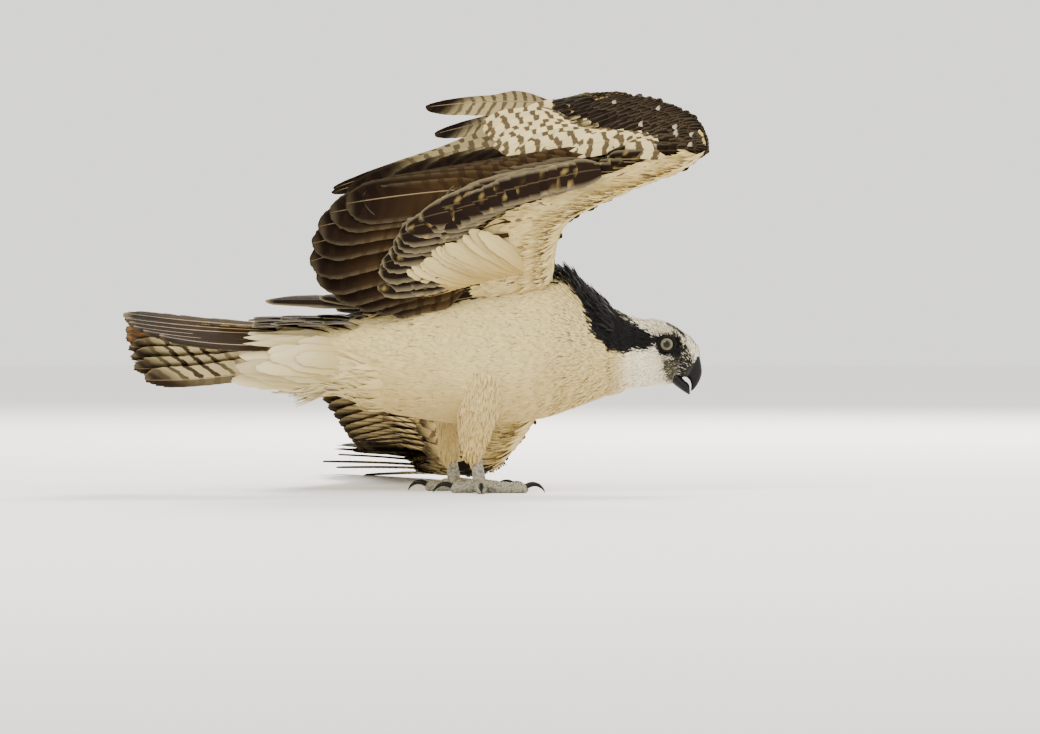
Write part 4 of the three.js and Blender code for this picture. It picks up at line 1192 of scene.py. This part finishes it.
def make_head_coat(random):
    """Neck and head feathers, shorter and finer towards the bill, the bristles on the bill's base and the
    loose dark crest of the hindneck."""
    make_coat("Coat_neck", body_surface, (0.44, 0.68), 9000, sized(12.5, 4.2), random)
    for name, span, count in (("Coat_head", (0.63, 0.86), 11000), ("Coat_face", (0.8, 0.985), 9000)):
        make_coat(name, body_surface, span, count, head_size, random, keep=away_from_eye,
                  lift_range=(0.7, 1.25), roll=0.3)

    def bill_base(u, v):
        return superellipse(UPPER_BILL, u, v, power=BILL_POWER, grow=0.2)

    make_coat("Coat_bill_base", bill_base, (0.0, 0.37), 1900, sized(6.5, 1.7), random, depth=0.8,
              tint=bristle_tint, lift_range=(1.2, 3.4))

    def on_nape(place):
        return (place[:, 2] > 150) & (np.abs(place[:, 1]) < 30) & (place[:, 0] < 150)

    def crest_tint(place, normal, random):
        return looks_of("mask") * random.uniform(0.8, 2.2, (len(place), 1))

    make_coat("Coat_crest", body_surface, (0.5, 0.69), 1100, sized(22.0, 4.4), random, keep=on_nape, spread=0.3,
              lift_range=(0.8, 2.6), rows=7, tint=crest_tint)


def make_leg_coat(random):
    """Short dense thigh feathers."""
    for name, sections, side in (("right", THIGH_RIGHT, -LEG_SIDE), ("left", THIGH_LEFT, LEG_SIDE)):
        def surface(u, v, sections=sections, side=side):
            return superellipse(sections, u, v, side=side)

        make_coat("Coat_thigh_" + name, surface, (0.02, 0.985), 4200, sized(16.0, 5.0), random, towards=1,
                  roll=0.25, lift_range=(0.6, 1.5))


BILL_POWER = 1.9
NOSTRIL, NOSTRIL_REACH, NOSTRIL_DEPTH = (220.8, 133.5), 2.0, 2.4
CERE_FADE, CERE_END = 0.28, 0.38
CORNEA_RISE, CORNEA_ANGLE = 0.035, 0.5
IRIS_REACH, LID_REACH, LID_TUBE, LID_OUT = 7.2, 7.9, 1.5, 4.6


def make_bill():
    """Upper bill: superellipse sections carried round the hook, with a softer cere at its base and a nostril
    slit pressed into each side of it. Lower bill: a shallow trough that closes just behind the hook."""
    for name, sections in (("Bill_upper", UPPER_BILL), ("Bill_lower", LOWER_BILL)):
        rows, columns = 90, 48
        u, v = closed_grid(rows, columns)
        place = superellipse(sections, u, v, power=BILL_POWER)
        colour = one_colour("horn", place.shape)
        if name == "Bill_upper":
            from_nostril = np.hypot((place[..., 0] - NOSTRIL[0]) * 1.6, place[..., 2] - NOSTRIL[1])
            pit = np.exp(-(from_nostril / NOSTRIL_REACH) ** 2) * smoothstep(4, 8, np.abs(place[..., 1]))
            place[..., 1] -= np.sign(place[..., 1]) * NOSTRIL_DEPTH * pit
            soft = smoothstep(CERE_END, CERE_FADE, u + 0.05 * np.cos(2 * np.pi * v))
            place[..., 1] *= 1 + 0.05 * soft
            colour += (looks_of("cere") - colour) * soft[..., None]
            # The nostril pit is also darkened in colour: painted shade in the recess
            colour *= (1 - 0.85 * pit)[..., None]
        made = new_mesh(name, place, grid_faces(rows, columns, wrap=True), colours={"Tint": colour})
        finish_piece(made, "horn", (name.lower(),))


def make_eyes():
    """Each eye is a ball with a slight bulge at the cornea, its map holding the distance from its axis, ringed
    by two folds of dark lid skin."""
    rows, columns, around, tube = 40, 48, 64, 16
    s, v = closed_grid(rows, columns)
    polar = s * math.pi
    radius_mm = looks().eye_radius / MM
    radius = radius_mm * (1 + CORNEA_RISE * np.exp(-(polar / CORNEA_ANGLE) ** 2))
    flat = np.stack([np.clip(radius_mm * np.sin(polar) / IRIS_REACH, 0, 1) + (polar > 1.57) * 1.0, v], -1)
    angle, turn = (2 * np.pi * part for part in np.meshgrid(np.arange(around) / around, np.arange(tube) / tube,
                                                            indexing="ij"))
    ring = LID_REACH + LID_TUBE * np.cos(turn) + 0.25 * np.sin(angle * 9) * (np.cos(turn) > 0)
    ring = ring * (1 + 0.05 * np.cos(angle) ** 2)
    k, last = np.arange(tube), (around - 1) * tube
    closing = np.stack([k + last, (k + 1) % tube + last, (k + 1) % tube, k], -1)
    for side, name in ((-1, "right"), (1, "left")):
        ball = new_mesh(f"Eye_{name}", np.stack([
            EYE[0] + radius * np.sin(polar) * np.cos(2 * np.pi * v),
            side * (EYE[1] + radius * np.cos(polar)),
            EYE[2] + radius * np.sin(polar) * np.sin(2 * np.pi * v),
        ], -1), grid_faces(rows, columns, wrap=True, flip=side > 0), uvs={"Eye": flat})
        finish_piece(ball, "eye", (f"eye_{name}",))
        place = np.stack([
            EYE[0] + ring * np.cos(angle), side * (EYE[1] + LID_OUT + LID_TUBE * np.sin(turn)),
            EYE[2] + ring * np.sin(angle) * 0.95,
        ], -1)
        lid = new_mesh(f"Lids_{name}", place, np.vstack([grid_faces(around, tube, wrap=True), closing]),
                       colours={"Tint": one_colour("lid", place.shape)})
        finish_piece(lid, "lid")


SCUTE_PITCH = 2.4
# Direction in degrees from straight ahead, and length, of each toe
TOES = ((8, 46), (-32, 36), (88, 40), (178, 27))


def path_tube(points, radii, rows, columns, rough=0.0):
    """A round tube carried along a smooth path, with overlapping scutes: its radius follows a saw of the
    distance walked. What would pass the floor is pressed flat on it."""
    t = np.linspace(0, 1, rows)
    centre = hermite(np.asarray(points, float), t)
    radius = hermite(np.asarray(radii, float)[:, None], t)[:, 0]
    way = unit(np.gradient(centre, axis=0))
    walked = np.concatenate([[0], np.cumsum(np.linalg.norm(np.diff(centre, axis=0), axis=1))])
    helper = np.where(np.abs(way[:, 2:3]) > 0.85, np.array([[0, 1.0, 0]]), np.array([[0, 0, 1.0]]))
    across = unit(np.cross(helper, way))
    over = np.cross(way, across)
    angle = 2 * np.pi * np.arange(columns) / columns
    saw = rough * ((walked / SCUTE_PITCH) % 1)[:, None] * (0.6 + 0.4 * np.sin(angle))[None]
    ring = radius[:, None] + saw
    place = (centre[:, None] + across[:, None] * (ring * np.cos(angle))[..., None]
             + over[:, None] * (ring * np.sin(angle))[..., None])
    place[..., 2] = np.maximum(place[..., 2], 0.0)
    return place


def make_leg(name, foot_x, side, top, out):
    """Scaled shank and four toes as one set of tubes, with a long hooked claw on each toe."""
    shank = [[top[0], side, top[1] + 8], [(top[0] + foot_x) / 2, side, (top[1] + 14) / 2 + 6], [foot_x, side, 6]]
    tubes, claws = [path_tube(shank, [5.6, 5.2, 7.0], 60, 28, rough=0.5)], []
    for turn, reach in TOES:
        angle = math.radians(turn * out)

        def path(*steps, angle=angle):
            return [[foot_x + math.cos(angle) * distance, side + math.sin(angle) * distance, height]
                    for distance, height in steps]

        toe = path((-3, 8.0), (reach * 0.3, 6.4), (reach * 0.55, 4.9), (reach * 0.8, 5.0), (reach, 4.3),
                   (reach + 2.5, 4.4))
        tubes.append(path_tube(toe, [6.0, 6.1, 5.0, 5.4, 4.2, 1.5], 70, 26, rough=0.8))
        claw = path((reach - 2, 5.2), (reach + 5, 8.6), (reach + 11.5, 8.6), (reach + 17, 4.8),
                    (reach + 19.6, 0.4))
        claws.append(path_tube(claw, [2.9, 2.7, 2.1, 1.2, 0.25], 30, 16))
    for part, grids, finish, slot_name, colour, nodes in (
            ("Foot_" + name, tubes, "scales", "scaled_skin", "foot", (f"shank_{name}", f"foot_{name}")),
            ("Claws_" + name, claws, "horn", "bill_horn", "claw", ())):
        faces, start = [], 0
        for grid in grids:
            faces.append(grid_faces(*grid.shape[:2], wrap=True) + start)
            start += grid.shape[0] * grid.shape[1]
        points = np.vstack([grid.reshape(-1, 3) for grid in grids])
        made = new_mesh(part, points, np.vstack(faces), colours={"Tint": one_colour(colour, points.shape)})
        finish_piece(made, finish, nodes)


FLOOR_RADIUS, FLOOR_SIDES = 9.0, 96
DISTANCE, SENSOR, CAMERA_RISE = 8.0, 36.0, math.radians(0.8)
FILL_SHARE = 0.45


def aim(made, target):
    """Turns a camera or lamp so that it looks at the target."""
    made.rotation_euler = (Vector(target) - made.location).to_track_quat("-Z", "Y").to_euler()


def make_stage():
    """Pale floor, soft lamps and the camera at the photograph's angle."""
    ring = np.linspace(0, 2 * np.pi, FLOOR_SIDES, endpoint=False)
    rim = np.stack([np.cos(ring), np.sin(ring), 0 * ring], -1) * FLOOR_RADIUS
    floor = bpy.data.meshes.new("Floor")
    floor.from_pydata(rim.tolist(), [], [list(range(FLOOR_SIDES))])
    floor = add_object("Floor", floor)
    floor.data.materials.append(finish_of("floor"))
    middle = (np.array([PHOTO_CENTRE[0], 0.0, PHOTO_CENTRE[1]]) - MIDDLE) * MM
    camera = add_object("Camera", bpy.data.cameras.new("Camera"))
    camera.data.sensor_width = SENSOR
    camera.data.lens = SENSOR * DISTANCE / (PHOTO_SIZE[0] * MM)
    camera.location = (middle[0], middle[1] - DISTANCE, middle[2] + DISTANCE * math.sin(CAMERA_RISE))
    camera.data.clip_end = 100.0
    aim(camera, middle)
    bpy.context.scene.camera = camera
    # Each lamp's name, place, width, power and colour
    lamps = (("Key", (-1.6, -2.6, 2.6), 1.8, looks().key_power, (1.0, 0.97, 0.92)),
             ("Fill", (2.8, -2.2, 1.4), 2.4, looks().key_power * FILL_SHARE, (0.94, 0.97, 1.0)),
             ("Back", (0.8, 2.8, 2.2), 1.2, looks().back_power, (1.0, 0.93, 0.82)))
    for name, place, size, power, colour in lamps:
        lamp = bpy.data.lights.new(name, "AREA")
        lamp.energy, lamp.size, lamp.color = power, size, colour
        made = add_object(name, lamp)
        made.location = place
        aim(made, (0, 0, 0.2))
    world = bpy.data.worlds.new("Soft studio")
    bpy.context.scene.world = world
    world.use_nodes = True
    ground = world.node_tree.nodes["Background"]
    ground.inputs["Color"].default_value = linear("#f1efec")
    ground.inputs["Strength"].default_value = looks().world_strength


# Settings, steps and panel


def colour_property(name, words, value):
    return bpy.props.FloatVectorProperty(name=name, description=words, default=linear(value)[:3], size=3,
                                         subtype="COLOR", min=0.0, max=1.0)


class OspreyLooks(bpy.types.PropertyGroup):
    coat_depth: bpy.props.FloatProperty(
        name="Coat depth", description="How far the skin lies inside the outline of the plumage",
        default=COAT_DEPTH * MM, min=0.001, max=0.01, unit="LENGTH")
    eye_radius: bpy.props.FloatProperty(
        name="Eye radius", description="Radius of each eyeball", default=EYE_RADIUS * MM, min=0.005, max=0.01,
        unit="LENGTH")
    key_power: bpy.props.FloatProperty(
        name="Key lamp", description="Power of the main soft lamp", default=105.0, min=0.0, unit="POWER")
    back_power: bpy.props.FloatProperty(
        name="Back lamp", description="Power of the lamp that shines through the wings", default=240.0, min=0.0,
        unit="POWER")
    world_strength: bpy.props.FloatProperty(
        name="Room light", description="Strength of the even light from all round", default=1.8, min=0.0)
    cream: colour_property("Underparts", "Belly and flank feathers", "#cfba7e")
    # Colour of the lower body, with painted shade on the underside
    warm_shaded_low: colour_property("Breast", "Warmer breast and neck feathers", "#b09252")
    crown: colour_property("Crown", "Pale crown and throat", "#efe6c8")
    white_tip: colour_property("Undertail", "Loose undertail feathers", "#e8dcb8")
    streak: colour_property("Crown streaks", "Grey-brown centres of the crown feathers", "#6b5a3f")
    mask: colour_property("Mask", "Dark band through the eye and down the hindneck", "#0b0705")
    brown: colour_property("Back brown", "Upper side of body and wings", "#2b1c10")
    brown_dark: colour_property("Back brown, tips", "Darker ends of the brown feathers", "#1a110a")
    rim: colour_property("Pale rims", "Edges of the dark feathers", "#cdbb92")
    lining: colour_property("Wing lining", "Small feathers under the wings", "#bda260")
    lining_pale: colour_property("Wing lining, tips", "Ends of the wing lining feathers", "#d6c184")
    covert_dark: colour_property("Greater under-coverts", "Dark band under each wing", "#20150d")
    primary_pale: colour_property("Primaries below", "Pale bases of the primaries", "#e2cd94")
    # Pale bases of the far wing below, lightened as painted back light
    far_pale_backlit: colour_property("Far wing below", "Pale bases of the far wing's feathers", "#f6da98")
    secondary: colour_property("Secondaries below", "Bases of the secondaries", "#5e4629")
    flight_back: colour_property("Flight feathers above", "Bases of the flight feathers", "#3b2a19")
    flight_tip: colour_property("Flight feather tips", "Dark ends of the flight feathers", "#20150e")
    tail_pale: colour_property("Tail below", "Pale inner webs of the tail", "#e0cd98")
    tail_brown: colour_property("Tail above", "Upper side of the tail", "#46351f")
    # Colour of painted back light shining through the middle tail tips
    backlit: colour_property("Tail, middle tips", "Thin middle tail tips with light behind them", "#a3774c")
    tail_dark: colour_property("Tail tips", "Dark ends and outer webs of the tail", "#33261a")
    horn: colour_property("Horn", "Bill", "#060504")
    cere: colour_property("Cere", "Soft skin at the base of the bill", "#262523")
    gape: colour_property("Gape", "Dark bristles of lores, chin and bill base", "#2a2722")
    lid: colour_property("Lids", "Skin round the eyes", "#040302")
    foot: colour_property("Feet", "Scaled skin of shanks and toes", "#8f8972")
    claw: colour_property("Claws", "Claw horn", "#0c0a09")


def looks():
    return bpy.context.scene.osprey_looks


def looks_of(key):
    return np.array(getattr(looks(), key))


def make_feet():
    make_leg("right", 10, -LEG_SIDE, (4, 38), -1)
    make_leg("left", -16, LEG_SIDE, (-20.5, 36), 1)


class OSPREY_OT_skin(bpy.types.Operator):
    """Build the skin under the plumage"""
    bl_idname = "osprey.skin"
    bl_label = "Skin"

    def execute(self, context):
        make_skin()
        return {"FINISHED"}


class OSPREY_OT_body_coat(bpy.types.Operator):
    """Lay the feathers of rump, belly, breast and back"""
    bl_idname = "osprey.body_coat"
    bl_label = "Body feathers"

    def execute(self, context):
        make_body_coat(np.random.default_rng(21))
        return {"FINISHED"}


class OSPREY_OT_head_coat(bpy.types.Operator):
    """Lay the feathers of neck, head and crest"""
    bl_idname = "osprey.head_coat"
    bl_label = "Head feathers"

    def execute(self, context):
        make_head_coat(np.random.default_rng(22))
        return {"FINISHED"}


class OSPREY_OT_leg_coat(bpy.types.Operator):
    """Lay the thigh feathers"""
    bl_idname = "osprey.leg_coat"
    bl_label = "Thigh feathers"

    def execute(self, context):
        make_leg_coat(np.random.default_rng(23))
        return {"FINISHED"}


class OSPREY_OT_right_wing(bpy.types.Operator):
    """Build the right wing's flight feathers and coverts"""
    bl_idname = "osprey.right_wing"
    bl_label = "Right wing"

    def execute(self, context):
        make_wing("right", 11)
        return {"FINISHED"}


class OSPREY_OT_left_wing(bpy.types.Operator):
    """Build the left wing's flight feathers and coverts"""
    bl_idname = "osprey.left_wing"
    bl_label = "Left wing"

    def execute(self, context):
        make_wing("left", 12)
        return {"FINISHED"}


class OSPREY_OT_tail(bpy.types.Operator):
    """Build the tail and its coverts"""
    bl_idname = "osprey.tail"
    bl_label = "Tail"

    def execute(self, context):
        make_tail(np.random.default_rng(24))
        return {"FINISHED"}


class OSPREY_OT_shoulders(bpy.types.Operator):
    """Lay the long shoulder feathers over the back"""
    bl_idname = "osprey.shoulders"
    bl_label = "Shoulder feathers"

    def execute(self, context):
        make_shoulders(np.random.default_rng(25))
        return {"FINISHED"}


class OSPREY_OT_bill(bpy.types.Operator):
    """Build the upper and lower bill with the cere"""
    bl_idname = "osprey.bill"
    bl_label = "Bill"

    def execute(self, context):
        make_bill()
        return {"FINISHED"}


class OSPREY_OT_eyes(bpy.types.Operator):
    """Build both eyes and their lids"""
    bl_idname = "osprey.eyes"
    bl_label = "Eyes"

    def execute(self, context):
        make_eyes()
        return {"FINISHED"}


class OSPREY_OT_feet(bpy.types.Operator):
    """Build shanks, toes and claws"""
    bl_idname = "osprey.feet"
    bl_label = "Feet"

    def execute(self, context):
        make_feet()
        return {"FINISHED"}


class OSPREY_OT_stage(bpy.types.Operator):
    """Lay the floor and set lamps and camera"""
    bl_idname = "osprey.stage"
    bl_label = "Stage"

    def execute(self, context):
        make_stage()
        return {"FINISHED"}


STEPS = (OSPREY_OT_skin, OSPREY_OT_body_coat, OSPREY_OT_head_coat, OSPREY_OT_leg_coat, OSPREY_OT_right_wing,
         OSPREY_OT_left_wing, OSPREY_OT_tail, OSPREY_OT_shoulders, OSPREY_OT_bill, OSPREY_OT_eyes,
         OSPREY_OT_feet, OSPREY_OT_stage)


class OSPREY_PT_panel(bpy.types.Panel):
    """Lists the steps and the settings"""
    bl_idname = "OSPREY_PT_panel"
    bl_label = "Osprey"
    bl_space_type = "VIEW_3D"
    bl_region_type = "UI"
    bl_category = "Osprey"

    def draw(self, context):
        for step in STEPS:
            self.layout.operator(step.bl_idname)
        for key in OspreyLooks.__annotations__:
            self.layout.prop(context.scene.osprey_looks, key)


CLASSES = (OspreyLooks,) + STEPS + (OSPREY_PT_panel,)


def register():
    for item in CLASSES:
        bpy.utils.register_class(item)
    bpy.types.Scene.osprey_looks = bpy.props.PointerProperty(type=OspreyLooks)


def unregister():
    del bpy.types.Scene.osprey_looks
    for item in reversed(CLASSES):
        bpy.utils.unregister_class(item)


def main():
    register()
    for step in STEPS:
        getattr(bpy.ops.osprey, step.bl_idname.split(".")[1])()


if __name__ == "__main__":
    main()
